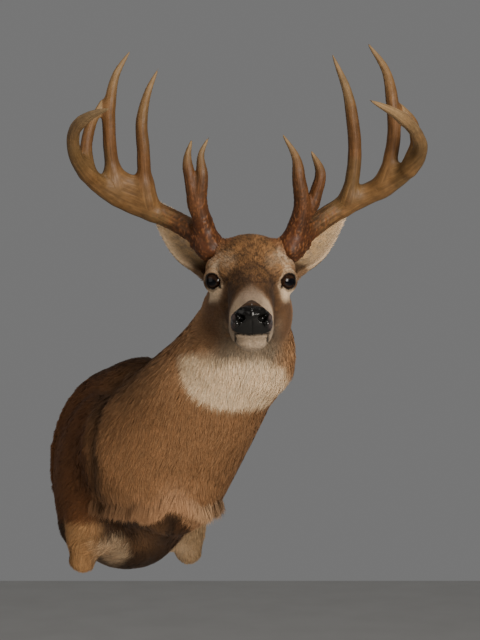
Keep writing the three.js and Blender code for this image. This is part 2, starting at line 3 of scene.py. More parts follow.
import bpy
import numpy as np
from bpy.props import FloatProperty, FloatVectorProperty, IntProperty, PointerProperty
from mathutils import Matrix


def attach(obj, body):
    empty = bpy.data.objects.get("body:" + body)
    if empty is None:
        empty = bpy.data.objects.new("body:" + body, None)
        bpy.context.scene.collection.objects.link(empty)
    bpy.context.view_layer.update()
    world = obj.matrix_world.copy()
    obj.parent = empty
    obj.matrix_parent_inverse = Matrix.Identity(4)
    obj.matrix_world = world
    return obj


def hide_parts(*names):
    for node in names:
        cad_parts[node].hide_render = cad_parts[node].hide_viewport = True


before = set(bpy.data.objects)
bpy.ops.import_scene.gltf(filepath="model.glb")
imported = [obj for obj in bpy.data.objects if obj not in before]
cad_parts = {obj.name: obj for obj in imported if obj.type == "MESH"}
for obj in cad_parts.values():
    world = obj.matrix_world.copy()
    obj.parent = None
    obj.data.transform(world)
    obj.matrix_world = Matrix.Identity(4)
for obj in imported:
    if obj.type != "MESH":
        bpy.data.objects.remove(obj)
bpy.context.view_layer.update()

bl_info = {
    "name": "Whitetail Shoulder Mount",
    "version": (1, 0, 0),
    "blender": (4, 5, 0),
    "location": "3D Viewport > Sidebar > Mount",
    "description": "Hide, coat, eyes, nose and antlers for a whitetail buck shoulder mount",
    "category": "Add Mesh",
}

# Shapes are worked out in millimetres, in the frame of the mount: the origin is on the wall at the
# centre of the back board, the buck looks along -Y, +X is its left and +Z is up.
MM = 0.001

# ---------------------------------------------------------------- the form under the hide
BODY_TURN = math.radians(32)
TRUNK_ORIGIN = np.array((-14.0, 0.0, 16.0))
HEAD_ORIGIN = np.array((245.8, -449.6, 315.2))
HEAD_PITCH = math.radians(22.6)
# Rows: towards the buck's left, forward along the muzzle, up through the crown.
HEAD_AXES = np.array((
    (1.0, 0.0, 0.0),
    (0.0, -math.cos(HEAD_PITCH), -math.sin(HEAD_PITCH)),
    (0.0, -math.sin(HEAD_PITCH), math.cos(HEAD_PITCH)),
))
TRUNK_AXES = np.array((
    (math.cos(BODY_TURN), math.sin(BODY_TURN), 0.0),
    (math.sin(BODY_TURN), -math.cos(BODY_TURN), 0.0),
    (0.0, 0.0, 1.0),
))
# The planes where head, neck and trunk meet, each with its normal towards the head.
NAPE = ((246, -345, 300), (0, -0.9, 0.44))
THROAT = ((246, -405, 215), (0, -0.3, 0.954))
NECK_ROOT = ((104, -212, 44), (0.52, -0.68, 0.52))


def smooth(low, high, value):
    """0 below low and 1 above high, with an even rise between; low may be the greater."""
    t = np.clip((value - low) / (high - low), 0, 1)
    return t * t * (3 - 2 * t)


def mix(a, b, t):
    """From a at 0 to b at 1."""
    return a + (b - a) * t


def hump(value, centre, width):
    """1 at the centre, falling off evenly on both sides."""
    return np.exp(-((value - centre) / width) ** 2)


def unit(v):
    """Vectors brought to length 1."""
    v = np.asarray(v, float)
    return v / np.maximum(np.linalg.norm(v, axis=-1, keepdims=True), 1e-9)


def soft_min(a, b, blend):
    """The lesser of two distances, joined by a fillet."""
    h = np.maximum(blend - np.abs(a - b), 0) / blend
    return np.minimum(a, b) - h * h * blend * 0.25


def soft_max(a, b, blend):
    return -soft_min(-a, -b, blend)


def ball(p, centre, radii, tilt=0.0):
    """Distance to an egg whose length is tipped up by tilt degrees."""
    c, s = math.cos(math.radians(tilt)), math.sin(math.radians(tilt))
    y, z = p[:, 1] - centre[1], p[:, 2] - centre[2]
    d = np.stack((p[:, 0] - centre[0], y * c + z * s, z * c - y * s), 1) / np.float32(radii)
    near = np.sqrt((d * d).sum(1))
    slope = np.sqrt(((d / np.float32(radii)) ** 2).sum(1))
    return near * (near - 1) / np.maximum(slope, 1e-9)


def limb(p, a, radius_a, b, radius_b, wide=1.0):
    """Distance to a tapered limb with round ends, wider across than deep where asked."""
    a, b = np.float32(a), np.float32(b)
    q = p - a
    t = np.clip(q @ (b - a) / ((b - a) @ (b - a)), 0, 1)
    q = q - t[:, None] * (b - a)
    q[:, 0] /= wide
    return np.sqrt((q * q).sum(1)) - (radius_a + (radius_b - radius_a) * t)


# Each mass is its shape, its sizes and how far it blends into those before it. The head's are for
# the buck's left side, in head axes, and hold for its right side too.
HEAD_MASSES = (
    (ball, ((0, -40, 2), (60, 70, 56)), 1),
    (ball, ((0, -52, 26), (52, 50, 32)), 30),
    (limb, ((0, 24, 9), 34, (0, 158, -9), 21, 1.05), 30),
    (limb, ((0, 40, -24), 40, (0, 156, -27), 27, 1.06), 24),
    (ball, ((37, -16, -46), (28, 54, 48)), 24),
    (limb, ((35, 44, -22), 15, (57, -36, -4), 18), 20),
    (limb, ((20, -20, -76), 27, (8, 138, -48), 15), 26),
    (limb, ((36, 22, 20), 13, (57, -24, 14), 17), 16),
    (ball, ((53, 0, 0), (22.5, 22.5, 21)), 12),
    (limb, ((38, -58, 28), 22, (57, -60, 40), 18), 16),
    (limb, ((44, -74, 8), 23, (59, -94, 26), 18), 20),
    (ball, ((0, 174, -17), (30, 19, 24)), 10),
    (ball, ((0, 154, -51), (20, 25, 13)), 12),
)
TRUNK_MASSES = (
    (ball, ((2, -40, -12), (130, 330, 200)), 1),
    (ball, ((-8, 120, 120), (60, 120, 76)), 50),
    (ball, ((0, 20, -140), (84, 150, 80)), 30),
    (ball, ((-82, 58, -32), (68, 112, 165), -24), 26),
    (ball, ((84, 62, -30), (68, 112, 165), -24), 26),
    (limb, ((-101, 96, -120), 49, (-114, 88, -182), 28.5), 30),
    (limb, ((92, 108, -120), 46, (95, 116, -180), 28.5), 30),
)
NECK_MASSES = (
    (limb, ((84, -188, 30), 141, (225, -322, 203), 92, 1.07), 1),
    (limb, ((225, -322, 203), 92, (240, -354, 264), 76, 1.07), 24),
)
BRISKET = ((114, -250, -50), (66, 64, 62))

EYE_AT = np.array((53.0, 0.0, 0.0))
EYE_RADIUS = 19.5
GAZE = unit((0.54, 0.84, 0.06))
NASAL = unit((-0.84, 0.54, 0.0))
LID_UP = unit(np.array((0, 0, 1.0)) - GAZE * GAZE[2])
# How far the lids open from the middle of the eye, every 45 degrees from the front corner upwards.
LID_REACH = (20.0, 15.0, 13.6, 12.4, 8.4, 9.4, 10.4, 12.2)

EAR_BASE = np.array((59.0, -96.0, 1.0))
EAR_AXIS = unit((0.65, -0.55, 0.515))
EAR_ACROSS = np.array((0.68, 0.14, -0.715))
EAR_ACROSS = unit(EAR_ACROSS - EAR_AXIS * (EAR_ACROSS @ EAR_AXIS))
EAR_HOLLOW = np.cross(EAR_AXIS, EAR_ACROSS)
EAR_LENGTH = 180.0
EAR_HALF_WIDTH = 39.0
EAR_SKIN = 3.2


def in_head(p):
    """Places in head axes: left, forward, up."""
    return (p - HEAD_ORIGIN) @ HEAD_AXES.T


def from_head(q):
    """Places given in head axes, in the frame of the mount."""
    return np.asarray(q, float) @ HEAD_AXES + HEAD_ORIGIN


def mirrored(q):
    """Places in head axes, all brought to the buck's left side."""
    return np.concatenate((np.abs(q[:, :1]), q[:, 1:]), 1)


def in_trunk(p):
    """Places in trunk axes: across, forward, up."""
    return (p - TRUNK_ORIGIN) @ TRUNK_AXES.T


def past(p, plane):
    """How far each point lies past a plane, towards the head."""
    return (p - np.array(plane[0])) @ unit(plane[1])


def blended(p, masses):
    """Distance to masses that melt into one another."""
    d = np.full(len(p), 1e4, np.float32)
    p = p.astype(np.float32)
    for shape, sizes, blend in masses:
        d = soft_min(d, shape(p, *sizes), blend)
    return d


def where_near(p, low, high, work, rest=1e4):
    """Runs work on the points inside a box, and gives the others the value of rest."""
    inside = ((p > low) & (p < high)).all(1)
    d = np.full(len(p), rest, np.float32)
    if inside.any():
        d[inside] = work(p[inside])
    return d


HEAD_REACH = ((-180, -190, -190), (180, 250, 150))


def flesh(p):
    """Distance to the outline of the coat, without the ears."""
    d = soft_min(blended(in_trunk(p), TRUNK_MASSES), blended(p, NECK_MASSES), 36)
    d = soft_min(d, ball(p.astype(np.float32), *BRISKET), 36)
    head = where_near(in_head(p), *HEAD_REACH, lambda q: blended(mirrored(q), HEAD_MASSES))
    return soft_min(d, head, 34)


# ---------------------------------------------------------------- ears, lids, nose and mouth
def ear_parts(q):
    """Along, across and out of each ear's hollow, with the leaf's half width and curl there."""
    e = mirrored(q) - EAR_BASE
    s = e @ EAR_AXIS / EAR_LENGTH
    w = e @ EAR_ACROSS
    along = np.clip(s, 0, 1)
    swell = np.sin(np.pi * np.minimum(1, 0.27 + along * 0.57) ** 0.9)
    half = EAR_HALF_WIDTH * swell * np.maximum(0, 1 - along ** 3.2) ** 0.75 - 1.5
    half = np.maximum(half * np.where(w < 0, 0.64, mix(0.80, 1.0, smooth(-0.05, 0.36, s))), 0.8)
    cup = mix(20, 8, smooth(0, 0.9, along))
    side = np.clip(w / half, -1, 1)
    middle = cup * (side * side - 0.35) - 10 * np.sin(np.pi * along)
    slope = 2 * cup * np.abs(side) / half
    return s, w, half, e @ EAR_HOLLOW - middle, slope, side


def ear(q):
    """Distance to the leaf of the nearer ear."""
    s, w, half, out, slope, side = ear_parts(q)
    thick = EAR_SKIN * (0.5 + 1.6 * np.clip(1 - s, 0, 1) ** 4)
    thick = thick + 0.5 * hump(np.abs(side), 0.93, 0.12)
    leaf = np.abs(out) / np.sqrt(1 + np.minimum(slope, 1.2) ** 2) - thick
    edge = np.maximum(np.abs(w) - half, 0)
    end = np.maximum(np.maximum(s - 1, -s - 0.04), 0) * EAR_LENGTH
    return np.hypot(np.hypot(edge, end), np.maximum(leaf, 0)) + np.minimum(leaf, 0)


def eye_parts(q):
    """Aperture distance, depth along the gaze and distance from the eyeball's centre."""
    e = mirrored(q) - EYE_AT
    a, b, g = e @ NASAL, e @ LID_UP, e @ GAZE
    turn = ((np.degrees(np.arctan2(b, a)) + 5) % 360) / 45
    step = turn.astype(int) % 8
    reach = np.array(LID_REACH + LID_REACH[:1])
    f = turn - np.floor(turn)
    opening = mix(reach[step], reach[step + 1], f * f * (3 - 2 * f))
    return np.hypot(a, b) - opening, g, np.sqrt((e * e).sum(1)), a, b


def tear_line(m):
    """Distance to the line that runs forward and down from the front corner of the eye."""
    t = np.clip((m[:, 1] - 14) / 30, 0, 1)
    return np.hypot(m[:, 0] - mix(40, 37, t), m[:, 2] - mix(-2, -17, t))


def face_height(y, z):
    """Height on the head as it is carried, muzzle down, from places in head axes."""
    return 0.953 * z - 0.299 * y


def mouth_height(q):
    """The height of the line between the lips at each point of the muzzle."""
    y = q[:, 1]
    return -32 - 22 * smooth(176, 153, y) + 4 * smooth(150, 100, y)


def head_detail(q, d):
    """Works lids, tear lines, nose, mouth and cheeks into the distance d to the plain head."""
    m = mirrored(q)
    x, y, z = m.T
    lid, g, r, a, b = eye_parts(q)
    near_eye = (r < 46) & (g > -14)
    # hollow above the inner corner, and the bony brow over the eye
    d = d + 1.6 * hump(lid, 9.5, 4.5) * smooth(-2, 10, b + 0.4 * a) * near_eye
    d = d - 1.2 * hump(lid, 15, 5) * smooth(2, 12, b) * near_eye
    # the lids wrap the eyeball and roll at their edge
    d = soft_min(d, r - 21.2, 5)
    d = np.where(g > 2, np.maximum(d, -np.maximum(lid, 3 - g)), d)
    rim = np.hypot(lid - 0.7, r - EYE_RADIUS - 1.3) - 1.25
    d = np.where((g > 2) & (r > EYE_RADIUS - 1), soft_min(d, rim, 1.6), d)
    crease = hump(lid, 4.6, 1.1) * smooth(1, 8, b) + 0.7 * hump(lid, 4.8, 1.3) * smooth(-1, -7, b)
    d = d + 1.1 * crease * (g > 2) * (r < 30)
    # the tear line runs forward from the front corner
    d = d + 2.4 * hump(tear_line(m), 0, 2.2) * smooth(8, 16, y) * smooth(46, 34, y)
    # cheek hollow ahead of the jaw muscle, and the flat sides of the bridge
    d = d + 3.0 * np.exp(-((y - 66) / 34) ** 2 - ((z + 22) / 16) ** 2) * (x > 18)
    # the front of the nose leans back under a wet ridge
    d = soft_max(d, 0.962 * (y - 191.5) - 0.272 * (z + 1.5), 9)
    # nostrils: a mouth at the front and a slit that curls back under its wing
    hole = ball(m, (17, 186, -5.5), (8.0, 11, 6.2), 16)
    slit = limb(m, (20, 184, -4), 5.0, (24, 173, -2.5), 2.6)
    d = soft_max(d, -soft_min(hole, slit, 4), 2.0)
    wing = limb(m, (22, 187, -13), 4.6, (26, 173, -7), 3.0)
    d = soft_min(d, wing, 4)
    cap = limb(m, (0, 185, 2.0), 6.2, (15, 177, 3.2), 4.6)
    d = soft_min(d, cap, 5)
    for start, end, thick in (((0, 184, 7.6), (11, 181, 7.8), 2.0),
                              ((0, 169.5, 9.8), (11, 165.5, 8.3), 1.5),
                              ((0, 190.0, -0.6), (10, 186.6, 1.2), 1.7)):
        d = soft_min(d, limb(m, start, thick, end, 0.8 * thick), 2)
    d = d + 0.8 * hump(x, 0, 1.4) * smooth(170, 184, y) * smooth(-4, -12, z)
    # the line of the mouth, with a full upper lip over it
    height = mouth_height(m)
    open_from = smooth(98, 112, y)
    d = d - 1.3 * hump(z, height + 6, 5) * open_from * smooth(-26, -34, z)
    d = d + 3.6 * hump(z, height, 1.7) * open_from
    return d


def zones(p):
    """Shares of head and trunk at each point; what is left is neck."""
    head = smooth(-25, 25, np.minimum(past(p, NAPE), past(p, THROAT)))
    trunk = smooth(-40, 60, -past(p, NECK_ROOT)) * (1 - head)
    return head, trunk


def coat_depth(p):
    """How far the skin lies under the tips of the coat."""
    q = mirrored(in_head(p))
    head, trunk = zones(p)
    face = mix(1.1, 3.2, smooth(150, 40, q[:, 1])) + 1.8 * smooth(0, -50, q[:, 1])
    body = 8.0 + 1.0 * trunk
    legs = smooth(-105, -150, in_trunk(p)[:, 2])
    return mix(mix(body, face, head), 4.5, legs)


# The fold between shoulder and chest, and the crease down the middle under the brisket.
SHOULDER_FOLD = (((12, -150, 182), (-27, -250, 102)), ((-27, -250, 102), (-33, -277, 24)),
                 ((-33, -277, 24), (-36, -215, -62)))
BELLY_FOLD = (((120, -312, -60), (110, -280, -105)), ((110, -280, -105), (58, -95, -190)))


def near_line(p, a, b):
    """Distance to the straight line between two places."""
    return limb(p.astype(np.float32), a, 0, b, 0)


BOARD_HALF = (140.0, 182.0)
BOARD_DEPTH = 18.0
BOARD_GAP = 0.6


def ellipse_block(p, half_x, half_z, depth):
    """Distance to an oval block that stands on the wall."""
    ring = np.hypot(p[:, 0] / half_x, p[:, 2] / half_z)
    return np.maximum((ring - 1) * min(half_x, half_z), -depth - p[:, 1])


def hide_distance(p):
    """Distance to the skin itself."""
    d = flesh(p) + coat_depth(p)
    for a, b in SHOULDER_FOLD:
        d = d + 7.0 * hump(near_line(p, a, b), 0, 13)
    for a, b in BELLY_FOLD:
        d = d + 6.0 * hump(near_line(p, a, b), 0, 9)
    d = np.maximum(d, p[:, 1] + 0.5)
    half_x, half_z = BOARD_HALF
    board = ellipse_block(p, half_x + BOARD_GAP, half_z + BOARD_GAP, BOARD_DEPTH + BOARD_GAP)
    d = np.maximum(d, -board)
    q = in_head(p)
    inside = ((q > (-150, -80, -120)) & (q < (150, 240, 110))).all(1)
    if inside.any():
        d[inside] = head_detail(q[inside], d[inside])
    leaf = where_near(mirrored(q), (20, -260, -80), (260, -40, 170), ear)
    return soft_min(d, leaf, 9)


# ---------------------------------------------------------------- nets over a field
CUBE = [(i, j, k) for i in (0, 1) for j in (0, 1) for k in (0, 1)]


def shifted(corner, shape):
    """The block of the given shape that starts one step on along each axis that corner names."""
    return tuple(slice(o, n + o) for o, n in zip(corner, shape))


def axis_steps(low, high, fine_low, fine_high, coarse, fine):
    """Places of a grid's planes along one axis, close together over the fine stretch."""
    before = fine_low - coarse * np.arange(math.ceil((fine_low - low) / coarse), 0, -1)
    middle = np.arange(fine_low, fine_high, fine)
    after = middle[-1] + coarse * np.arange(1, math.ceil((high - middle[-1]) / coarse) + 1)
    return np.concatenate((before, middle, after))


def grid_points(axes, chosen=None):
    if chosen is None:
        return np.stack(np.meshgrid(*axes, indexing="ij"), -1).reshape(-1, 3)
    return np.stack([axes[k][i] for k, i in enumerate(chosen)], 1)


def in_chunks(field, p, size=300000):
    """A field's values worked out a part at a time, to spare memory."""
    return np.concatenate([field(p[i:i + size]) for i in range(0, len(p), size)]).astype(np.float32)


def field_near_surface(field, axes, block=4):
    """The field on the grid, worked out only in the blocks that the surface may pass through."""
    marks = [np.append(np.arange(0, len(a) - 1, block), len(a) - 1) for a in axes]
    rough = [a[m] for a, m in zip(axes, marks)]
    value = in_chunks(field, grid_points(rough)).reshape([len(r) for r in rough])
    nearest = np.full([len(r) - 1 for r in rough], np.inf, np.float32)
    for c in CUBE:
        nearest = np.minimum(nearest, np.abs(value[shifted(c, nearest.shape)]))
    widths = np.meshgrid(*[np.diff(r) for r in rough], indexing="ij")
    busy = nearest < 0.75 * np.sqrt(sum(w * w for w in widths)) + 4
    full = value[:-1, :-1, :-1]
    for k, m in enumerate(marks):
        busy = np.repeat(busy, np.diff(m), axis=k)
        full = np.repeat(full, np.diff(m), axis=k)
    full = np.pad(full, ((0, 1),) * 3, mode="edge")
    wanted = np.zeros(full.shape, bool)
    for c in CUBE:
        wanted[shifted(c, busy.shape)] |= busy
    chosen = np.nonzero(wanted)
    full[chosen] = in_chunks(field, grid_points(axes, chosen))
    return full, busy


def net(field, axes):
    """A closed net of four-cornered faces over the field: one corner for each cell it crosses."""
    value, busy = field_near_surface(field, axes)
    inside = value < 0
    count = np.zeros(busy.shape, np.int8)
    for c in CUBE:
        count += inside[shifted(c, busy.shape)]
    cells = np.nonzero((count > 0) & (count < 8))
    number = np.full(busy.shape, -1, np.int32)
    number[cells] = np.arange(len(cells[0]))
    at = [value[tuple(i + o for i, o in zip(cells, c))] for c in CUBE]
    place = [grid_points(axes, [i + o for i, o in zip(cells, c)]) for c in CUBE]
    total = np.zeros((len(cells[0]), 3))
    crossings = np.zeros(len(cells[0]))
    for m in range(8):
        for n in range(m + 1, 8):
            if sum(abs(u - v) for u, v in zip(CUBE[m], CUBE[n])) != 1:
                continue
            cut = (at[m] < 0) != (at[n] < 0)
            t = at[m][cut] / (at[m][cut] - at[n][cut])
            total[cut] += place[m][cut] + t[:, None] * (place[n][cut] - place[m][cut])
            crossings[cut] += 1
    faces = []
    for axis in range(3):
        length = inside.shape[axis]
        begin = inside.take(range(length - 1), axis)
        edge = np.argwhere(begin != inside.take(range(1, length), axis))
        u, v = [k for k in range(3) if k != axis]
        size = value.shape
        keep = (edge[:, u] > 0) & (edge[:, v] > 0)
        keep &= (edge[:, u] < size[u] - 1) & (edge[:, v] < size[v] - 1)
        edge = edge[keep]
        around = []
        for du, dv in ((1, 1), (0, 1), (0, 0), (1, 0)):
            cell = edge.copy()
            cell[:, u] -= du
            cell[:, v] -= dv
            around.append(number[tuple(cell.T)])
        quad = np.stack(around, 1)
        starts_inside = begin[tuple(edge.T)]
        turned = starts_inside if axis != 1 else ~starts_inside
        quad[~turned] = quad[~turned][:, ::-1]
        faces.append(quad)
    spans = np.stack([np.diff(a)[i] for a, i in zip(axes, cells)], 1)
    return total / crossings[:, None], np.concatenate(faces), spans.min(1)


def slopes(field, p, h=0.25):
    """The field's value and its slope along each axis."""
    d = in_chunks(field, p)
    steps = [in_chunks(field, p + h * np.eye(3)[k]) for k in range(3)]
    return d, np.stack([(s - d) / h for s in steps], 1)


def settle(field, p, reach, passes=3):
    """Brings points onto the surface and gives their normals."""
    for _ in range(passes):
        d, g = slopes(field, p)
        size = np.maximum((g * g).sum(1), 0.05)
        step = np.clip(d / size, -reach, reach)
        p = p - g * step[:, None]
    return p, unit(slopes(field, p)[1])


# ---------------------------------------------------------------- noise
def scatter(cells, seed):
    """A number from 0 to 1 for each whole-number cell, the same on every run."""
    n = cells.astype(np.int64)
    h = n[..., 0] * 73856093 ^ n[..., 1] * 19349663 ^ n[..., 2] * 83492791 ^ seed * 2654435761
    h = (h ^ (h >> 13)) * 1274126177
    h ^= h >> 16
    return (h & 0xFFFF) / 65535.0


def mottle(p, size, seed=1):
    """Smooth noise from 0 to 1 with spots of about the given size."""
    g = p / size
    base = np.floor(g)
    f = g - base
    f = f * f * (3 - 2 * f)
    total = np.zeros(len(p))
    for corner in range(8):
        o = np.array(((corner >> 2) & 1, (corner >> 1) & 1, corner & 1))
        weight = np.where(o, f, 1 - f)
        total += weight[:, 0] * weight[:, 1] * weight[:, 2] * scatter(base + o, seed)
    return total


# ---------------------------------------------------------------- markings
# Ochre and rusty streaks in the hair under the chest, and the pale one at the shoulder fold's top.
OCHRE_STREAK = ((84, -294, -90), (44, -180, -124))
RUSTY_STREAK = ((140, -290, -90), (120, -100, -140))
PALE_STREAK = ((46, -160, 205), (24, -158, 180))
# Each leg's root across and along the trunk, which way is outward, and its colour.
LEG_ROOTS = ((-108, 90, -1, "stub"), (93, 113, 1, "stub_pale"))
# The middle of the hair that turns in a whorl behind the right leg.
WHORL = (2, -150)


class Colouring:
    """Colours for a set of points, laid one over another by name."""

    def __init__(self, count, tone, ground):
        self.tone = tone
        self.colour = np.tile(np.array(tone[ground]), (count, 1))

    def lay(self, name, share):
        share = np.clip(share, 0, 1)[:, None]
        self.colour = mix(self.colour, np.array(self.tone[name]), share)

    def cover(self, other, share):
        self.colour = mix(self.colour, other.colour, share[:, None])


def body_markings(p, n, tone, warp):
    """Trunk, neck and legs, with the hair turned under the chest."""
    x, y, z = p.T
    across, along, height = in_trunk(p).T
    head, trunk = zones(p)
    coat = Colouring(len(p), tone, "chest")
    # reddish brown shoulder, darker on the buck's right side, partly as painted shade; greyer back,
    # darkened where it faces up, partly as painted shade; tan chest
    coat.lay("neck", (1 - trunk) * smooth(110, 200, z + warp))
    coat.lay("shoulder", smooth(-16, -54, x + 1.3 * warp) * smooth(-350, -290, y + warp))
    coat.lay("shoulder", 0.8 * smooth(-240, -60, y + warp))
    top = n[:, 2] + 0.35 * n[:, 1]
    coat.lay("back", smooth(0.25, 0.95, top + warp / 60) * 0.85 * smooth(-330, -230, y))
    # belly and the hair turned under the chest, dark partly as its own colour and partly as painted
    # shade under the hanging brisket
    under = fringe_height(p) + 10 - 24 * smooth(120, 160, x) - z + 0.3 * warp
    lower = smooth(0, 8 + 24 * smooth(-200, -80, y), under)
    lower = lower * np.maximum(smooth(-44, -20, x), smooth(-150, -110, y))
    coat.lay("fringe", 0.55 * hump(under, -18, 18) * smooth(-170, -210, y) * (x > -40))
    coat.lay("underside_and_shade", lower * smooth(-330, -300, -np.abs(y)))
    swirl = np.hypot(x + 4 + 0.4 * warp, (z + 150) * 0.95 + 0.4 * warp)
    coat.lay("swirl", 0.95 * lower * smooth(45, 27, swirl))
    coat.lay("swirl", lower * smooth(-90, 10, y) * 0.55)
    coat.lay("chest", 0.55 * lower * hump(near_line(p, *OCHRE_STREAK), 0, 26))
    coat.lay("rust", 0.3 * lower * hump(near_line(p, *RUSTY_STREAK), 0, 22) * mottle(p, 9, 13))
    # painted shade: black along the crease down the middle under the brisket
    for a, b in BELLY_FOLD:
        coat.lay("black", 0.8 * hump(near_line(p, a, b), 0, 7) * lower)
    for root_across, root_along, outward, name in LEG_ROOTS:
        share = smooth(58, 42, np.hypot(across - root_across, along - root_along))
        share = share * smooth(-102, -116, height + 0.5 * warp)
        coat.lay(name, share)
        inner = smooth(0, 26, -outward * (across - root_across) + warp)
        coat.lay("swirl", 0.6 * share * (inner * smooth(-126, -150, height)))
    # painted shade along the fold by the shoulder, with a pale streak beside its top
    for a, b in SHOULDER_FOLD:
        fold = hump(near_line(p, a, b), 0, 20)
        coat.lay("dark", 0.7 * fold * (1 - head) * smooth(-52, -14, z))
    # painted shade in a patch on the upper right side of the neck, beside the fold's top
    shaded = np.linalg.norm((p - (70, -262, 166)) * (1, 0.6, 0.8), axis=1)
    coat.lay("nape_and_shade", 0.6 * smooth(74, 18, shaded + 1.6 * warp))
    coat.lay("white", 0.4 * hump(near_line(p, *PALE_STREAK), 0, 5))
    # neck: darker behind, golden in front, with the throat patch and the grey under the chin
    behind = smooth(-0.1, 0.8, n[:, 1] * 0.8 + n[:, 2] * 0.5 + warp / 50)
    coat.lay("nape_and_shade", 0.85 * (behind * (1 - trunk) * (1 - head)))
    aside = x - 224 + 0.15 * (z - 150) + 0.3 * warp
    aside = aside / np.where(aside > 0, 94, 84)
    down = np.maximum((190 - z + 0.4 * warp) / 73, 0)
    patch = (np.abs(aside) ** 2.6 + down ** 2.6) ** (1 / 2.6)
    front = smooth(-315, -335, y) * smooth(0.3, 0.0, n[:, 1])
    throat = smooth(1.07, 0.91, patch) * front
    coat.lay("white", throat * smooth(216, 198, z + 0.5 * warp + 24 * smooth(0.6, 1.05, aside)))
    grey = smooth(186, 206, z + 0.4 * warp) * front
    coat.lay("jaw_grey", grey * smooth(0.80, 0.45, np.abs((x - 243 + 0.5 * warp) / 86)))
    return coat


def face_markings(p, tone, warp):
    """The head, from the grizzled forehead to the lips."""
    q = in_head(p)
    m = mirrored(q)
    x, y, z = m.T
    face = Colouring(len(p), tone, "face")
    sides = smooth(14, -30, z + 0.3 * warp)
    face.lay("cheek", sides)
    face.lay("neck", smooth(0, -60, y + 0.6 * warp) * smooth(10, -30, z) * 0.75)
    face.lay("jaw_grey", smooth(-38, -64, z + 0.5 * warp) * smooth(58, 28, x) * 0.9)
    face.lay("nape_and_shade", smooth(-60, -110, y + warp))
    # the grizzled forehead, rusty by the antlers, and the dark brow between the eyes
    grain = 0.45 * mottle(p * (1, 0.45, 1), 5.5, 7) + 0.55 * mottle(p * (1, 0.5, 1), 2.8, 9)
    patches = mottle(p, 17, 12)
    forehead = smooth(70, 10, y + 1.5 * warp) * smooth(6, 26, z + warp * 0.3)
    face.lay("forehead", forehead)
    face.lay("face", forehead * 0.45 * smooth(0.62, 0.40, patches + 0.2 * (grain - 0.5)))
    face.lay("dark", forehead * 0.65 * smooth(0.48, 0.62, grain))
    near_antler = np.linalg.norm(m - (58, -58, 40), axis=1)
    face.lay("rust", 0.7 * smooth(52, 24, near_antler + warp))
    near_ear = np.linalg.norm(m - EAR_BASE, axis=1)
    face.lay("ear_back", smooth(52, 30, near_ear + 0.5 * warp) * smooth(20, 6, z))
    brow = smooth(-8, 66, y + 1.4 * warp + 40 * (patches - 0.5))
    brow = brow * smooth(140, 112, y + 0.3 * x + 0.5 * warp) * smooth(46, 32, x)
    thick = smooth(0.38, 0.58, 0.5 * grain + 0.5 * patches + 0.08 * smooth(8, 26, x))
    face.lay("dark", 0.85 * brow * thick)
    flecks = smooth(0.45, 0.75, mottle(p * (1, 0.6, 1), 6, 15))
    face.lay("forehead", 0.35 * brow * flecks * smooth(110, 80, y))
    beside_muzzle = hump(y, 92, 38) * smooth(18, 30, x) * smooth(-62, -40, z + warp)
    face.lay("dark", 0.85 * beside_muzzle)
    # pale rings above and below the eyes; over the right one the ridge is laid fainter as painted
    # shade
    lid, depth, reach, a, b = eye_parts(q)
    in_front = depth > -2
    over = np.exp(-((a + 2) / 18) ** 2 - ((b - 25 + 0.3 * warp) / 9) ** 2) * (depth > -16)
    ridge = np.exp(-((y + 16) / 22) ** 2 - ((z - 34) / 13) ** 2) * smooth(34, 46, x)
    over = np.maximum(over, ridge * np.where(q[:, 0] < 0, 0.55, 1.0))
    inward = np.exp(-((x - 36) / 13) ** 2 - ((z - 34) / 10) ** 2 - ((y - 10) / 30) ** 2)
    over = np.maximum(over, 0.5 * inward)
    face.lay("pale", 0.85 * over * mix(1.0, smooth(0.28, 0.55, grain), 0.7))
    up = face_height(y, z) + 22
    beneath = np.exp(-((x - 57 + 0.2 * up) / 13.0) ** 4 - ((up + 0.25 * warp) / 13.5) ** 4)
    face.lay("pale", 1.1 * beneath * smooth(-30, -10, y) * smooth(76, 66, y))
    face.lay("dark", 0.6 * hump(lid, 3.2, 2.6) * in_front * smooth(6, -6, b) * smooth(-14, 4, a))
    face.lay("pale", 0.35 * hump(lid, 4.0, 2.2) * in_front * smooth(-6, 6, b))
    # the pale band behind the nose, a V that opens towards it
    band_back = 112 + 0.95 * np.minimum(x, 20) + 0.1 * x
    band = smooth(-13, 11, y - band_back + 1.0 * warp) * mix(0.2, 1.0, smooth(0, 44, y - 106))
    face.lay("band", band * smooth(-34, -24, z) * 0.95)
    face.lay("pale", 0.5 * band * smooth(-34, -24, z) * smooth(10, 24, x))
    face.lay("muzzle_pale", smooth(88, 130, y + warp) * smooth(-20, -34, z))
    # chin, lips and nose
    height = mouth_height(m)
    # painted shade under the nose: the chin's white is laid thin and dulled with muzzle pale, grey
    # below it
    chin = smooth(0, -4, z - height) * smooth(104, 140, y + warp)
    face.lay("white", 0.36 * chin * smooth(-55, -49, z + 0.25 * warp))
    face.lay("jaw_grey", 0.9 * chin * smooth(-49, -55, z + 0.25 * warp))
    face.lay("muzzle_pale", 0.55 * chin)
    grizzle = smooth(0.50, 0.80, mottle(p * (1, 0.5, 1), 2.6, 9))
    face.lay("forehead", 0.35 * grizzle * (1 - band) * (1 - sides) * (1 - brow))
    lip_line = hump(z, height, mix(1.7, 2.6, smooth(165, 185, y)))
    face.lay("black", 1.1 * (lip_line * smooth(100, 116, y)))
    corner = hump(x, 22.5, 1.9) * hump(y, 166, 14) * smooth(-56, -50, z) * smooth(-28, -33, z)
    face.lay("black", 0.9 * corner)
    face.lay("black", pad_share(m))
    # the tear line, the bare rims of the lids and the duct at the front corner
    face.lay("dark", 0.8 * hump(tear_line(m), 0, 1.8) * smooth(8, 16, y) * smooth(48, 36, y))
    rim = smooth(2.4, 1.0, lid) * (depth > 0) * (reach < 27)
    duct = np.hypot((a - 21.5) / 5.5, (b + 4.5 + 0.55 * (a - 21.5)) / 2.2)
    face.lay("black", np.maximum(rim, smooth(1.2, 0.7, duct) * in_front))
    return face


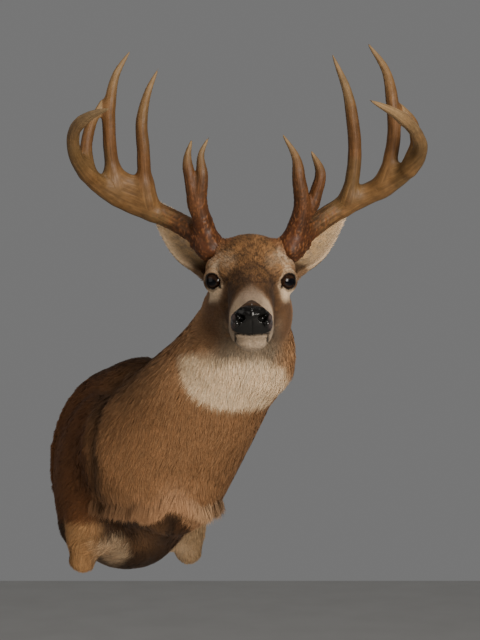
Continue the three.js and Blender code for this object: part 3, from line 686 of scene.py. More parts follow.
def ear_markings(p, tone, out, edge, s):
    """Grey-brown behind, creamy in the hollow with painted shade near its base, paler at the rim.
    """
    shell = Colouring(len(p), tone, "ear_back")
    shell.lay("dark", 0.6 * smooth(0.72, 1.0, s))
    from_middle = np.abs(edge)
    lining = Colouring(len(p), tone, "ear_inside")
    lining.lay("pale", 0.7 * smooth(0.55, 0.95, from_middle))
    lining.lay("stub", 0.55 * mottle(p, 14, 11) * smooth(0.8, 0.3, from_middle))
    spots = smooth(0.45, 0.72, mottle(p, 6, 14))
    lining.lay("muzzle_pale", 0.6 * spots * smooth(0.9, 0.5, from_middle))
    # painted shade deep in the hollow, near the ear's base
    lining.lay("dark", 0.35 * smooth(0.25, 0.05, s))
    shell.cover(lining, smooth(-0.3, 0.5, out))
    return shell


def markings(p, n, tone):
    """The coat's colour at each point p with outward normal n; tone holds the named colours."""
    warp = (mottle(p, 22, 3) - 0.5) * 12 + (mottle(p, 7, 4) - 0.5) * 5
    coat = body_markings(p, n, tone, warp)
    coat.cover(face_markings(p, tone, warp), zones(p)[0])
    on_ear, out, edge, s = ear_share(p)
    coat.cover(ear_markings(p, tone, out, edge, s), on_ear)
    return np.clip(coat.colour * mix(0.86, 1.12, mottle(p, 3.2, 5))[:, None], 0, 1)


def fringe_height(p):
    """The height of the brisket's hanging edge, which rises where it parts in the middle."""
    x = p[:, 0]
    return -80 + 24 * hump(x, 118, 26) + 3.0 * np.sin(x / 7.0) - 0.10 * np.maximum(-x - 20, 0)


def pad_edge(m):
    """Distance inward from the edge of the bare nose pad: a bell, narrow above and wide below."""
    x, y, z = m.T
    up = face_height(y, z) + 57
    slant = (31.5 - 1.24 * up - x) / 1.593
    edge = soft_min(soft_min(slant, 23.0 - up, 4), 32.0 - x, 6)
    edge = soft_min(edge, up + 29 - 8 * (np.minimum(x, 34) / 30) ** 2, 5)
    return soft_min(edge, y - mix(148, 160, smooth(8, 22, x)), 4)


def pad_share(m):
    """1 on the bare nose pad, 0 on the hair round it."""
    return smooth(-0.8, 0.8, pad_edge(m))


# ---------------------------------------------------------------- the lie of the coat
def lie(p, n):
    """The way the hair runs at each point, from root to tip, along the skin."""
    q = in_head(p)
    m = mirrored(q)
    parted = np.clip(q[:, 0] / 14, -1, 1)
    head, trunk = zones(p)
    t = in_trunk(p)
    on_face = np.stack((
        parted * (0.10 + 0.25 * smooth(60, -20, m[:, 1])),
        -np.ones(len(p)),
        -0.25 * smooth(10, -30, m[:, 2]) + 0.10 * smooth(20, 40, m[:, 2]),
    ), 1) @ HEAD_AXES
    on_neck = np.tile((-0.30, 0.28, -0.9), (len(p), 1))
    back = np.array((0.0, -1.0, -0.75)) @ TRUNK_AXES
    chest = np.array((0.0, 0.05, -1.0))
    front = smooth(40, 230, t[:, 1])
    on_trunk = mix(np.tile(back, (len(p), 1)), chest, front[:, None])
    flow = mix(mix(on_neck, on_trunk, trunk[:, None]), on_face, head[:, None])
    legs = smooth(-130, -175, t[:, 2])
    flow = mix(flow, np.array((0, 0.1, -1.0)), legs[:, None])
    # a whorl of longer hair behind the right leg's root
    spin = np.stack(((p[:, 2] + 96) / 34, np.zeros(len(p)), (6 - p[:, 0]) / 40 - 0.9), 1)
    whorl = smooth(56, 34, from_whorl(p)) * (p[:, 2] < fringe_height(p) - 6)
    flow = mix(flow, spin, whorl[:, None])
    on_ear, out, edge, s = ear_share(p)
    along_ear = EAR_AXIS + EAR_ACROSS * (0.35 * edge)[:, None]
    along_ear[:, 0] *= np.where(q[:, 0] < 0, -1, 1)
    flow = mix(flow, along_ear @ HEAD_AXES, on_ear[:, None])
    drift = np.stack([mottle(p, 38, 20 + k) - 0.5 for k in range(3)], 1) * 0.5
    drift += np.stack([mottle(p, 9, 30 + k) - 0.5 for k in range(3)], 1) * 0.35
    flow = unit(flow) + drift * (1 - 0.6 * head[:, None])
    return unit(flow - n * (flow * n).sum(1)[:, None])


def ear_share(p):
    """1 on the ears, with the place out of the hollow, across the leaf and along it."""
    s, w, half, out, slope, edge = ear_parts(in_head(p))
    return smooth(0.04, 0.13, s) * (np.abs(out) < 14) * (np.abs(w) < half + 8), out, edge, s


def from_whorl(p):
    """Distance from the middle of the whorl behind the right leg."""
    return np.hypot(p[:, 0] - WHORL[0], p[:, 2] - WHORL[1])


# ---------------------------------------------------------------- a map of the hide
SPINE = np.array(((-14, 60, 10), (84, -188, 30), (225, -322, 203), (248, -380, 290),
                  (246, -480, 305), (246, -650, 235)), float)


def hide_map(p):
    """Each point's place on the hide as if it were slit along the back and rolled out flat."""
    best = np.full(len(p), np.inf)
    run = np.zeros(len(p))
    turn = np.zeros(len(p))
    start = 0.0
    for a, b in zip(SPINE[:-1], SPINE[1:]):
        axis = b - a
        length = np.linalg.norm(axis)
        axis = axis / length
        t = np.clip((p - a) @ axis, 0, length)
        away = p - a - t[:, None] * axis
        distance = np.linalg.norm(away, axis=1)
        up = np.array((0, -0.5, 1.0))
        up = unit(up - axis * (up @ axis))
        aside = np.cross(axis, up)
        angle = np.arctan2(away @ aside, away @ up) / (2 * math.pi) + 0.5
        closer = distance < best
        best = np.where(closer, distance, best)
        run = np.where(closer, start + t, run)
        turn = np.where(closer, angle, turn)
        start += length
    u = 0.01 + 0.97 * turn
    v = 0.01 + 0.75 * run / start
    q = in_head(p)
    on_ear, out, edge, s = ear_share(p)
    island = np.where(q[:, 0] > 0, 0, 1) * 2 + (out > 0)
    ear_u = 0.02 + 0.24 * island + 0.22 * (0.5 + 0.5 * edge)
    ear_v = 0.80 + 0.19 * np.clip(s, 0, 1)
    u = np.where(on_ear > 0.5, ear_u, u)
    v = np.where(on_ear > 0.5, ear_v, v)
    return np.stack((u, v), 1)


# ---------------------------------------------------------------- antlers
# Centre lines in head axes, from the burr to each tip. The two sides grew differently.
ANTLERS = {
    "right": {
        "beam": ((-65, -65, 38), (-102, -100, 61), (-152, -124, 82), (-206, -121, 104),
                 (-250, -91, 139), (-275, -43, 187), (-270, 5, 234), (-240, 53, 263),
                 (-203, 90, 279)),
        "brow_inner": ((-70, -71, 50), (-83, -61, 110), (-78, -56, 159), (-79, -60, 191),
                       (-66, -68, 220)),
        "brow_outer": ((-86, -63, 84), (-95, -57, 142), (-101, -59, 184), (-94, -68, 215)),
        "tine_2": ((-166, -118, 84), (-175, -113, 142), (-176, -108, 192), (-177, -107, 238),
                   (-166, -111, 285), (-149, -117, 321)),
        "tine_3": ((-220, -108, 112), (-228, -106, 168), (-230, -100, 217), (-227, -100, 265),
                   (-216, -104, 312), (-193, -110, 349)),
        "tine_4": ((-262, -72, 160), (-265, -75, 197), (-258, -82, 232), (-241, -96, 269)),
    },
    "left": {
        "beam": ((66, -65, 37), (104, -101, 64), (153, -128, 91), (202, -126, 118), (246, -95, 151),
                 (268, -47, 197), (250, 4, 236), (213, 52, 267), (169, 87, 290)),
        "brow_inner": ((72, -70, 48), (84, -59, 105), (78, -53, 152), (73, -57, 186),
                       (49, -66, 226)),
        "brow_outer": ((92, -70, 84), (106, -68, 126), (113, -67, 161), (97, -73, 197)),
        "tine_2": ((160, -120, 92), (170, -113, 142), (172, -108, 192), (167, -107, 238),
                   (157, -111, 285), (132, -125, 344)),
        "tine_3": ((220, -112, 124), (230, -103, 176), (234, -100, 217), (230, -98, 261),
                   (218, -106, 317), (187, -115, 362)),
        "tine_4": ((258, -72, 164), (266, -70, 205), (260, -87, 240), (243, -110, 265)),
    },
}
# Bone that fills the fork between the second and third tines of the right antler.
WEBS = {
    "right": ((((-174, -115, 112), (-199, -112, 122), (-226, -107, 135)), 10.5),
              (((-174, -114, 133), (-199, -110, 140), (-226, -106, 155)), 9.0)),
    "left": ((((170, -118, 108), (196, -117, 117), (222, -108, 132)), 9.0),),
}
# Radius of each tine at its root and near its end.
TINES = {
    "brow_inner": (18.0, 6.0),
    "brow_outer": (13.0, 7.4),
    "tine_2": (13.2, 8.5),
    "tine_3": (13, 8.5),
    "tine_4": (11, 8),
}
BURR_AT = (65, -65, 38)
# How far a tine blends into the beam; the outer brow point keeps a sharp fork.
FORK_BLEND = 18
BROW_FORK_BLEND = 5
# The bone between two tines takes the look of this share of a beam's length.
WEB_SHARE = 0.05
# Points worked on at a time beside the many segments of a bar.
BAR_CHUNK = 40000


def curve_through(points, spacing=3.5):
    """Evenly spaced points on a smooth line through the given ones."""
    points = np.array(points, float)
    points = np.concatenate(([2 * points[0] - points[1]], points, [2 * points[-1] - points[-2]]))
    line = []
    for i in range(len(points) - 3):
        a, b, c, d = points[i:i + 4]
        ab, bc, cd = (np.sqrt(np.linalg.norm(v)) for v in (b - a, c - b, d - c))
        m = ((b - a) / ab - (c - a) / (ab + bc) + (c - b) / bc) * bc
        n = ((c - b) / bc - (d - b) / (bc + cd) + (d - c) / cd) * bc
        t = np.linspace(0, 1, 60, endpoint=i == len(points) - 4)[:, None]
        line.append(b + m * t + (-3 * b + 3 * c - 2 * m - n) * t ** 2
                    + (2 * b - 2 * c + m + n) * t ** 3)
    line = np.concatenate(line)
    run = np.concatenate(([0], np.cumsum(np.linalg.norm(np.diff(line, axis=0), axis=1))))
    even = np.linspace(0, run[-1], max(8, int(run[-1] / spacing)))
    return np.stack([np.interp(even, run, line[:, k]) for k in range(3)], 1), run[-1]


def beam_radius(t):
    """Thickness of the beam from the burr, where it swells, to its tip."""
    body = mix(18, 9.5, smooth(0.3, 0.8, t)) + 7 * np.exp(-(t / 0.045) ** 2)
    return np.maximum(1.0, body * np.minimum(1, (np.maximum(1 - t, 0) / 0.16) ** 0.6))


def tine_radius(root, end, length):
    """Thickness of a tine as a function of how far along it one is."""
    def radius(t):
        run = t * length
        body = mix(root, end, t) * mix(0.5, 1.0, smooth(0, 26, run))
        body = body + 0.05 * root * hump(run, 30, 15)
        return np.maximum(1.0, body * np.minimum(1, (np.maximum(1 - t, 0) / 0.35) ** 0.55))
    return radius


def antler_bars(side):
    """The bent bars that one antler is made of: name, points, radii and length."""
    bars = []
    for name, line in ANTLERS[side].items():
        points, length = curve_through(from_head(line))
        t = np.linspace(0, 1, len(points))
        radius = beam_radius(t) if name == "beam" else tine_radius(*TINES[name], length)(t)
        bars.append((name, points, radius - 0.4, length))
    for line, thick in WEBS[side]:
        points, length = curve_through(from_head(line))
        bars.append(("web", points, np.full(len(points), thick - 0.4), length))
    return bars


def along_bar(p, points, radius):
    """Distance to a bent bar, and how far along it the nearest place lies."""
    a, b = points[:-1].astype(np.float32), points[1:].astype(np.float32)
    step = b - a
    q = p[:, None, :].astype(np.float32) - a[None]
    t = np.clip((q * step[None]).sum(2) / (step * step).sum(1), 0, 1)
    q -= t[:, :, None] * step[None]
    d = np.sqrt((q * q).sum(2)) - (radius[:-1] + t * np.diff(radius))
    best = d.argmin(1)
    rows = np.arange(len(p))
    return d[rows, best], (best + t[rows, best]) / (len(points) - 1)


def antler_distance(bars):
    """The field of distances to bars that are joined at their forks."""
    def field(p):
        total = np.full(len(p), 1e3, np.float32)
        for name, points, radius, _ in bars:
            low, high = points.min(0) - 45, points.max(0) + 45
            d = where_near(p, low, high, lambda q: bar_distance(q, points, radius), 200)
            total = soft_min(total, d, BROW_FORK_BLEND if name == "brow_outer" else FORK_BLEND)
        return total
    return field


def bar_distance(p, points, radius):
    """Distance to one bent bar, worked out a part at a time."""
    starts = range(0, len(p), BAR_CHUNK)
    return np.concatenate([along_bar(p[i:i + BAR_CHUNK], points, radius)[0] for i in starts])


def antler_surface(side, cell):
    """The net over one antler with its grooves and beads, and the grain that its finish follows."""
    bars = antler_bars(side)
    every = np.concatenate([line for _, line, _, _ in bars])
    low, high = every.min(0) - 32, every.max(0) + 20
    axes = [np.arange(l, h, cell) for l, h in zip(low, high)]
    field = antler_distance(bars)
    points, faces, _ = net(field, axes)
    points, normals = settle(field, points, 0.4 * cell, 2)
    count = len(points)
    nearest, second = np.full((2, count), 1e9)
    share, run, base = np.zeros((3, count))
    centre, direction = np.zeros((2, count, 3))
    for name, line, radius, length in bars:
        kind = 1.0 if name == "beam" else 0.5 if "brow" in name else 0.0
        for i in range(0, count, BAR_CHUNK):
            part = slice(i, i + BAR_CHUNK)
            d, t = along_bar(points[part], line, radius)
            closer = d < nearest[part]
            second[part] = np.where(closer, nearest[part], np.minimum(d, second[part]))
            for values, found in ((nearest, d), (share, WEB_SHARE if name == "web" else t),
                                  (run, t * length), (base, kind)):
                values[part] = np.where(closer, found, values[part])
            at = t * (len(line) - 1)
            k = np.minimum(at.astype(int), len(line) - 2)
            step = line[k + 1] - line[k]
            here = line[k] + (at - k)[:, None] * step
            centre[part] = np.where(closer[:, None], here, centre[part])
            direction[part] = np.where(closer[:, None], unit(step), direction[part])
    out = points - centre
    aside = unit(np.cross(direction, (0.0, 1.0, 0.2)))
    upright = np.cross(direction, aside)
    turn = np.stack(((out * aside).sum(1), (out * upright).sum(1)), 1)
    turn = turn / np.maximum(np.linalg.norm(turn, axis=1, keepdims=True), 1e-6)
    grain = np.concatenate((turn * 11, (run / 16)[:, None] + 3.7 * base[:, None]), 1)
    burr_at = from_head(BURR_AT if side == "left" else (-BURR_AT[0], *BURR_AT[1:]))
    from_burr = np.linalg.norm(points - burr_at, axis=1)
    rough = smooth(170, 40, from_burr)
    groove = np.abs(mottle(grain, 1.9, 41) - 0.5) * 2
    polish = smooth(1.0, 0.82, share) * mix(0.25, 1.0, smooth(0, 9, second - nearest))
    lift = (groove - 0.45) * 0.9 * polish
    bead = smooth(0.52, 0.84, mottle(points * (1, 1, 0.45), 2.2, 42))
    lift = lift + 0.7 * bead * rough * polish
    burr = hump(run, 21, 5.5) * (base > 0.9)
    lift = lift + burr * (1.4 + 2.4 * mottle(points, 4.0, 43))
    points = points + normals * np.clip(lift, -1.6, 3.6)[:, None]
    groove_shade = smooth(0.5, 0.0, groove) * polish
    return points, faces, grain, share, from_burr, groove_shade, bead * rough, base


def antler_colours(p, tone, share, from_burr, groove, bead, base):
    """Red-brown near the burr, tan along the beams, ivory at the tips, dark in the grooves."""
    bone = Colouring(len(p), tone, "antler_beam")
    warp = (mottle(p, 30, 51) - 0.5) * 90
    reddish = smooth(0.12, 0.32, share) * smooth(0.8, 0.45, share)
    bone.lay("antler_red", 0.75 * smooth(0.3, 0.0, base) * reddish)
    bone.lay("antler_olive", 0.5 * smooth(0.45, 0.75, mottle(p, 42, 52)))
    bone.lay("antler_base", smooth(105, 40, from_burr + 0.4 * warp))
    bone.lay("antler_base", 0.75 * (np.abs(base - 0.5) < 0.1) * smooth(1.0, 0.5, share))
    bone.lay("antler_tip", 0.55 * smooth(0.60, 0.97, share + 0.1 * (mottle(p, 20, 53) - 0.5)))
    bone.lay("antler_groove", groove * mix(0.22, 0.7, smooth(170, 60, from_burr)))
    bone.lay("antler_bead", 0.6 * bead)
    return np.clip(bone.colour * mix(0.85, 1.15, mottle(p, 5, 54))[:, None], 0, 1)


# ---------------------------------------------------------------- making objects
def mesh_object(name, points, faces, colours=None, uv=None, normals=None, vectors=None):
    """A mesh from points in millimetres and arrays of three- and four-cornered faces."""
    mesh = bpy.data.meshes.new(name)
    corner = np.concatenate([f.ravel() for f in faces]).astype(np.int32)
    sizes = np.concatenate([np.full(len(f), f.shape[1]) for f in faces])
    starts = np.concatenate(([0], np.cumsum(sizes)[:-1])).astype(np.int32)
    mesh.vertices.add(len(points))
    mesh.vertices.foreach_set("co", (points * MM).astype(np.float32).ravel())
    mesh.loops.add(len(corner))
    mesh.loops.foreach_set("vertex_index", corner)
    mesh.polygons.add(len(sizes))
    mesh.polygons.foreach_set("loop_start", starts)
    mesh.update(calc_edges=True)
    mesh.polygons.foreach_set("use_smooth", np.ones(len(sizes), bool))
    if colours is not None:
        layer = mesh.color_attributes.new("markings", "FLOAT_COLOR", "POINT")
        rgba = np.concatenate((colours, np.ones((len(colours), 1))), 1).astype(np.float32)
        layer.data.foreach_set("color", rgba.ravel())
    for key, values in (vectors or {}).items():
        layer = mesh.attributes.new(key, "FLOAT_VECTOR", "POINT")
        layer.data.foreach_set("vector", values.astype(np.float32).ravel())
    if uv is not None:
        layer = mesh.uv_layers.new(name="OFBake", do_init=False)
        layer.uv.foreach_set("vector", uv[corner].astype(np.float32).ravel())
    mesh.validate()
    if normals is not None:
        mesh.normals_split_custom_set_from_vertices(normals)
    piece = bpy.data.objects.new(name, mesh)
    bpy.context.scene.collection.objects.link(piece)
    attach(piece, "root")
    return piece


def read_mesh(name):
    """A finished piece's corner places and normals in millimetres, and its four-cornered faces."""
    piece = bpy.data.objects.get(name)
    if piece is None:
        raise RuntimeError(f"{name} isn't made yet")
    mesh = piece.data
    points = np.empty(len(mesh.vertices) * 3, np.float32)
    mesh.vertices.foreach_get("co", points)
    normals = np.empty(len(mesh.vertices) * 3, np.float32)
    mesh.vertex_normals.foreach_get("vector", normals)
    corners = np.empty(len(mesh.loops), np.int32)
    mesh.loops.foreach_get("vertex_index", corners)
    return points.reshape(-1, 3) / MM, normals.reshape(-1, 3), corners.reshape(-1, 4)


class Finish:
    """A material under construction: a surface shader and the nodes that feed it."""

    def __init__(self, name):
        self.material = bpy.data.materials.new(name)
        self.material.use_nodes = True
        self.tree = self.material.node_tree
        self.tree.nodes.clear()
        output = self.node("ShaderNodeOutputMaterial")
        self.surface = self.node("ShaderNodeBsdfPrincipled")
        self.link(self.surface.outputs[0], output.inputs[0])

    def node(self, kind, **settings):
        made = self.tree.nodes.new(kind)
        for key, value in settings.items():
            if hasattr(made, key):
                setattr(made, key, value)
            else:
                made.inputs[key.replace("_", " ")].default_value = value
        return made

    def link(self, source, target):
        self.tree.links.new(source, target)

    def set(self, **values):
        for key, value in values.items():
            self.surface.inputs[key.replace("_", " ")].default_value = value

    def attribute(self, name):
        return self.node("ShaderNodeAttribute", attribute_name=name)

    def place(self):
        return self.node("ShaderNodeTexCoord").outputs["Object"]

    def stretched(self, vector, scale):
        made = self.node("ShaderNodeMapping")
        self.link(vector, made.inputs["Vector"])
        made.inputs["Scale"].default_value = scale
        return made.outputs[0]

    def noise(self, vector, scale, detail=3.0, roughness=0.55):
        made = self.node("ShaderNodeTexNoise", Scale=scale, Detail=detail, Roughness=roughness)
        self.link(vector, made.inputs["Vector"])
        return made.outputs["Fac"]

    def spread(self, value, low, high, to_low=0.0, to_high=1.0):
        made = self.node("ShaderNodeMapRange", From_Min=low, From_Max=high, To_Min=to_low,
                         To_Max=to_high)
        self.link(value, made.inputs["Value"])
        return made.outputs["Result"]

    def cloud(self, vector, scale, detail, to_low, to_high):
        """Soft noise that runs between two values."""
        return self.spread(self.noise(vector, scale, detail), 0.3, 0.7, to_low, to_high)

    def maths(self, operation, *values):
        made = self.node("ShaderNodeMath", operation=operation)
        for value, target in zip(values, made.inputs):
            if isinstance(value, float):
                target.default_value = value
            else:
                self.link(value, target)
        return made.outputs[0]

    def blend(self, share, first, second, kind="MIX"):
        made = self.node("ShaderNodeMix", data_type="RGBA", blend_type=kind)
        for value, k in ((share, 0), (first, 6), (second, 7)):
            target = made.inputs[k]
            if isinstance(value, bpy.types.NodeSocket):
                self.link(value, target)
            elif isinstance(value, (int, float)):
                target.default_value = value
            else:
                target.default_value = (*value[:3], 1)
        return made.outputs[2]

    def bump(self, height, strength, distance):
        made = self.node("ShaderNodeBump", Strength=strength, Distance=distance)
        self.link(height, made.inputs["Height"])
        self.link(made.outputs[0], self.surface.inputs["Normal"])

    def colour(self, source):
        self.link(source, self.surface.inputs["Base Color"])

    def roughness(self, source):
        self.link(source, self.surface.inputs["Roughness"])

    def shaded_markings(self, shade):
        """The mesh's own markings, lighter and darker by a grey shade, as the colour."""
        marks = self.attribute("markings").outputs["Color"]
        grey = self.node("ShaderNodeCombineColor")
        for target in grey.inputs:
            self.link(shade, target)
        self.colour(self.blend(1.0, marks, grey.outputs[0], "MULTIPLY"))


def hair_finish(name, bumpy):
    """Dry deer hair: the markings, a fine salt and pepper, and combed ridges where it lies flat."""
    finish = Finish(name)
    place = finish.place()
    speck = finish.cloud(place, 420, 2, 0.80, 1.18)
    shade = finish.cloud(place, 34, 3, 0.93, 1.07)
    finish.shaded_markings(finish.maths("MULTIPLY", speck, shade))
    finish.roughness(finish.cloud(place, 160, 2, 0.55, 0.75))
    finish.set(Specular_IOR_Level=0.16, Sheen_Weight=0.02, Sheen_Roughness=0.45)
    if bumpy:
        comb = finish.attribute("comb").outputs["Vector"]
        finish.bump(finish.noise(comb, 900, 3), 0.55, 0.0012)
    return finish.material


def nose_finish():
    """Bare wet skin: black with a brown cast on top, pebbled, under a clear wet film."""
    finish = Finish("nose_skin")
    place = finish.place()
    finish.shaded_markings(finish.cloud(place, 220, 3, 0.7, 1.3))
    finish.roughness(finish.cloud(place, 120, 3, 0.30, 0.44))
    finish.set(Specular_IOR_Level=0.0, Coat_Weight=1.0, Coat_Roughness=0.24, Coat_IOR=1.36)
    pebbles = finish.node("ShaderNodeTexVoronoi", Scale=560.0)
    finish.link(place, pebbles.inputs["Vector"])
    finish.bump(pebbles.outputs["Distance"], 0.12, 0.0008)
    return finish.material


def eye_finish(tone):
    """Glass over a dark brown iris with a pupil that lies level."""
    finish = Finish("eye_glass")
    look = finish.attribute("look").outputs["Vector"]
    apart = finish.node("ShaderNodeSeparateXYZ")
    finish.link(look, apart.inputs[0])
    level, upright = apart.outputs[0], apart.outputs[1]

    def squares(a, b):
        return finish.maths("ADD", finish.maths("POWER", a, 2.0), finish.maths("POWER", b, 2.0))

    pupil = squares(finish.maths("DIVIDE", level, 0.50), finish.maths("DIVIDE", upright, 0.30))
    streak = finish.spread(finish.noise(look, 9, 4), 0.35, 0.7)
    brown = finish.blend(streak, tone["iris"], tone["iris_light"])
    brown = finish.blend(finish.spread(squares(level, upright), 0.40, 0.56), brown, tone["sclera"])
    finish.colour(finish.blend(finish.spread(pupil, 0.75, 1.1), tone["pupil"], brown))
    finish.set(Roughness=0.6, Specular_IOR_Level=0.0)
    finish.set(Coat_Weight=1.0, Coat_Roughness=0.02, Coat_IOR=1.27)
    return finish.material


def antler_finish():
    """Bone with a long grain, dark in its grooves and polished on its ridges."""
    finish = Finish("antler_bone")
    grain = finish.attribute("grain").outputs["Vector"]
    streak = finish.noise(grain, 2.0, 5, 0.6)
    shade = finish.spread(streak, 0.32, 0.68, 0.80, 1.17)
    thin = finish.spread(finish.noise(grain, 6.0, 3), 0.35, 0.65, 0.86, 1.12)
    finish.shaded_markings(finish.maths("MULTIPLY", shade, thin))
    finish.roughness(finish.cloud(finish.place(), 90, 3, 0.40, 0.60))
    finish.set(Specular_IOR_Level=0.20, Coat_Weight=0.02, Coat_Roughness=0.3)
    finish.bump(streak, 0.6, 0.0018)
    return finish.material


def wood_finish(tone):
    """Stained board with a long grain from side to side."""
    finish = Finish("stained_wood")
    along = finish.stretched(finish.place(), (1.0, 9.0, 9.0))
    rings = finish.noise(along, 9, 5, 0.6)
    pores = finish.noise(along, 70, 2)
    colour = finish.blend(finish.spread(rings, 0.3, 0.7), tone["wood_dark"], tone["wood"])
    pitted = finish.spread(pores, 0.58, 0.7, 0.0, 0.6)
    finish.colour(finish.blend(pitted, colour, tone["wood_dark"]))
    finish.roughness(finish.spread(rings, 0.3, 0.7, 0.42, 0.6))
    finish.set(Specular_IOR_Level=0.4)
    finish.bump(pores, 0.25, 0.0006)
    return finish.material


def steel_finish():
    """Brushed steel with faint scratches and dulled patches."""
    finish = Finish("brushed_steel")
    place = finish.place()
    brush = finish.noise(finish.stretched(place, (60.0, 60.0, 2.0)), 22, 3)
    dull = finish.spread(finish.noise(place, 60, 3), 0.35, 0.7)
    finish.colour(finish.blend(dull, (0.42, 0.42, 0.41), (0.58, 0.58, 0.57)))
    finish.roughness(finish.spread(brush, 0.3, 0.7, 0.28, 0.48))
    finish.set(Metallic=1.0)
    finish.bump(brush, 0.12, 0.0003)
    return finish.material


def floor_finish():
    """Plain pale floor."""
    finish = Finish("pale_floor")
    clouds = finish.cloud(finish.place(), 3, 2, 0.0, 1.0)
    finish.colour(finish.blend(clouds, (0.60, 0.59, 0.57), (0.64, 0.63, 0.61)))
    finish.set(Roughness=0.8)
    return finish.material


def wear(piece, material):
    """Gives a piece its material, in one material slot."""
    piece.data.materials.clear()
    piece.data.materials.append(material)


# ---------------------------------------------------------------- settings
def shade(name, description, colour):
    """A setting for one colour."""
    return FloatVectorProperty(name=name, description=description, default=colour,
                               subtype="COLOR", min=0.0, max=1.0, size=3)


def metres(name, description, default, low, high):
    """A setting for a length."""
    return FloatProperty(name=name, description=description, default=default, min=low, max=high,
                         subtype="DISTANCE", unit="LENGTH")


def portion(name, description):
    """A setting for a share of the natural size."""
    return FloatProperty(name=name, description=description, default=1.0, min=0.3, max=2.0,
                         subtype="FACTOR")


def watts(name, description, default):
    """A setting for a light's power."""
    return FloatProperty(name=name, description=description, default=default, min=0.0,
                         unit="POWER")


class MountColours(bpy.types.PropertyGroup):
    chest: shade("Chest", "Golden tan of chest and front of the neck", (0.205, 0.103, 0.045))
    neck: shade("Neck", "Golden tan at the sides of the neck", (0.305, 0.162, 0.076))
    shoulder: shade("Shoulder", "Reddish brown of shoulder and flank", (0.116, 0.046, 0.016))
    back: shade("Back", "Grey-brown along the top of the back", (0.040, 0.017, 0.007))
    nape_and_shade: shade("Nape", "Brown behind the neck", (0.120, 0.062, 0.028))
    rust: shade("Rust", "Red-brown by the antlers and under the chest", (0.190, 0.072, 0.026))
    dark: shade("Dark", "Dark brown between the eyes and on the muzzle", (0.048, 0.025, 0.012))
    black: shade("Black", "Bare lids, lips and nose", (0.006, 0.005, 0.004))
    white: shade("White", "Throat patch, chin and inner legs", (0.610, 0.450, 0.285))
    pale: shade("Pale", "Rings round the eyes", (0.630, 0.470, 0.310))
    band: shade("Band", "Pale band behind the nose", (0.295, 0.215, 0.150))
    muzzle_pale: shade("Muzzle pale", "Grey-white beside the lips", (0.285, 0.215, 0.152))
    jaw_grey: shade("Jaw grey", "Grey-brown under the chin", (0.165, 0.122, 0.080))
    face: shade("Face", "Brown of brow and bridge", (0.106, 0.053, 0.024))
    cheek: shade("Cheek", "Dark brown of the cheeks", (0.125, 0.064, 0.030))
    forehead: shade("Forehead", "Light hairs of the grizzled forehead", (0.275, 0.138, 0.053))
    fringe: shade("Fringe", "Pinkish tan of the brisket's edge", (0.330, 0.180, 0.092))
    underside_and_shade: shade("Underside", "Hair turned under the chest", (0.040, 0.019, 0.008))
    swirl: shade("Swirl", "Cream of the long hair behind the right leg", (0.430, 0.300, 0.180))
    stub: shade("Right leg", "Ochre of the right leg", (0.300, 0.160, 0.066))
    stub_pale: shade("Left leg", "Pale tan of the left leg", (0.235, 0.152, 0.080))
    ear_back: shade("Ear back", "Grey-brown behind the ears", (0.160, 0.095, 0.050))
    ear_inside: shade("Ear inside", "Cream in the hollow of the ears", (0.560, 0.385, 0.210))
    antler_base: shade("Antler base", "Red-brown stain near the burr", (0.070, 0.023, 0.008))
    antler_beam: shade("Antler beam", "Tan of the beams", (0.150, 0.078, 0.028))
    antler_red: shade("Antler red", "Warm brown on the tines", (0.110, 0.047, 0.016))
    antler_olive: shade("Antler olive", "Olive-brown patches on the beams", (0.104, 0.066, 0.027))
    antler_tip: shade("Antler tip", "Rubbed ivory of the tips", (0.265, 0.182, 0.096))
    antler_groove: shade("Antler groove", "Dirt in the grooves", (0.032, 0.014, 0.005))
    antler_bead: shade("Antler bead", "Rubbed beads by the burr", (0.205, 0.078, 0.026))
    wet_skin_and_highlight: shade("Wet skin", "Grey-pink of the lower corners of the nose", (0.120, 0.085, 0.080))
    pupil: shade("Pupil", "Blue-black of the pupil", (0.002, 0.002, 0.003))
    iris: shade("Iris", "Dark of the iris", (0.010, 0.005, 0.003))
    iris_light: shade("Iris light", "Brown streaks of the iris", (0.030, 0.014, 0.007))
    sclera: shade("Eye edge", "Dark edge of the eye", (0.006, 0.004, 0.003))
    wood: shade("Wood", "Light grain of the board", (0.230, 0.125, 0.060))
    wood_dark: shade("Wood dark", "Dark grain of the board", (0.110, 0.055, 0.025))


class MountSizes(bpy.types.PropertyGroup):
    face_cell: metres("Face cell", "Net cell on head and ears", 0.0017, 0.001, 0.01)
    body_cell: metres("Body cell", "Net cell on neck and trunk", 0.006, 0.003, 0.02)
    antler_cell: metres("Antler cell", "Net cell on the antlers", 0.0019, 0.001, 0.01)
    tufts: IntProperty(name="Tufts", description="Tufts in the whole coat", default=400000,
                       min=1000, max=440000)
    length: portion("Tuft length", "Share of the natural length")
    width: portion("Tuft width", "Share of the natural width")
    fringe: metres("Brisket fringe", "Length of the hair at the brisket's edge", 0.024, 0.0, 0.06)
    seed: IntProperty(name="Seed", description="Where each tuft falls", default=12, min=0)


class MountStage(bpy.types.PropertyGroup):
    floor: FloatProperty(name="Floor", description="Height of the floor below the board's centre",
                         default=-1.25, subtype="DISTANCE", unit="LENGTH")
    key: watts("Key light", "Power of the main soft light", 90.0)
    fill: watts("Fill light", "Power of the fill light", 13.0)
    top: watts("Top light", "Power of the light above", 19.0)
    around: FloatProperty(name="Room", description="Brightness of the room", default=0.22, min=0.0)


def tones():
    """The named colours as they are set."""
    group = bpy.context.scene.mount_colours
    return {key: tuple(getattr(group, key)) for key in MountColours.__annotations__}


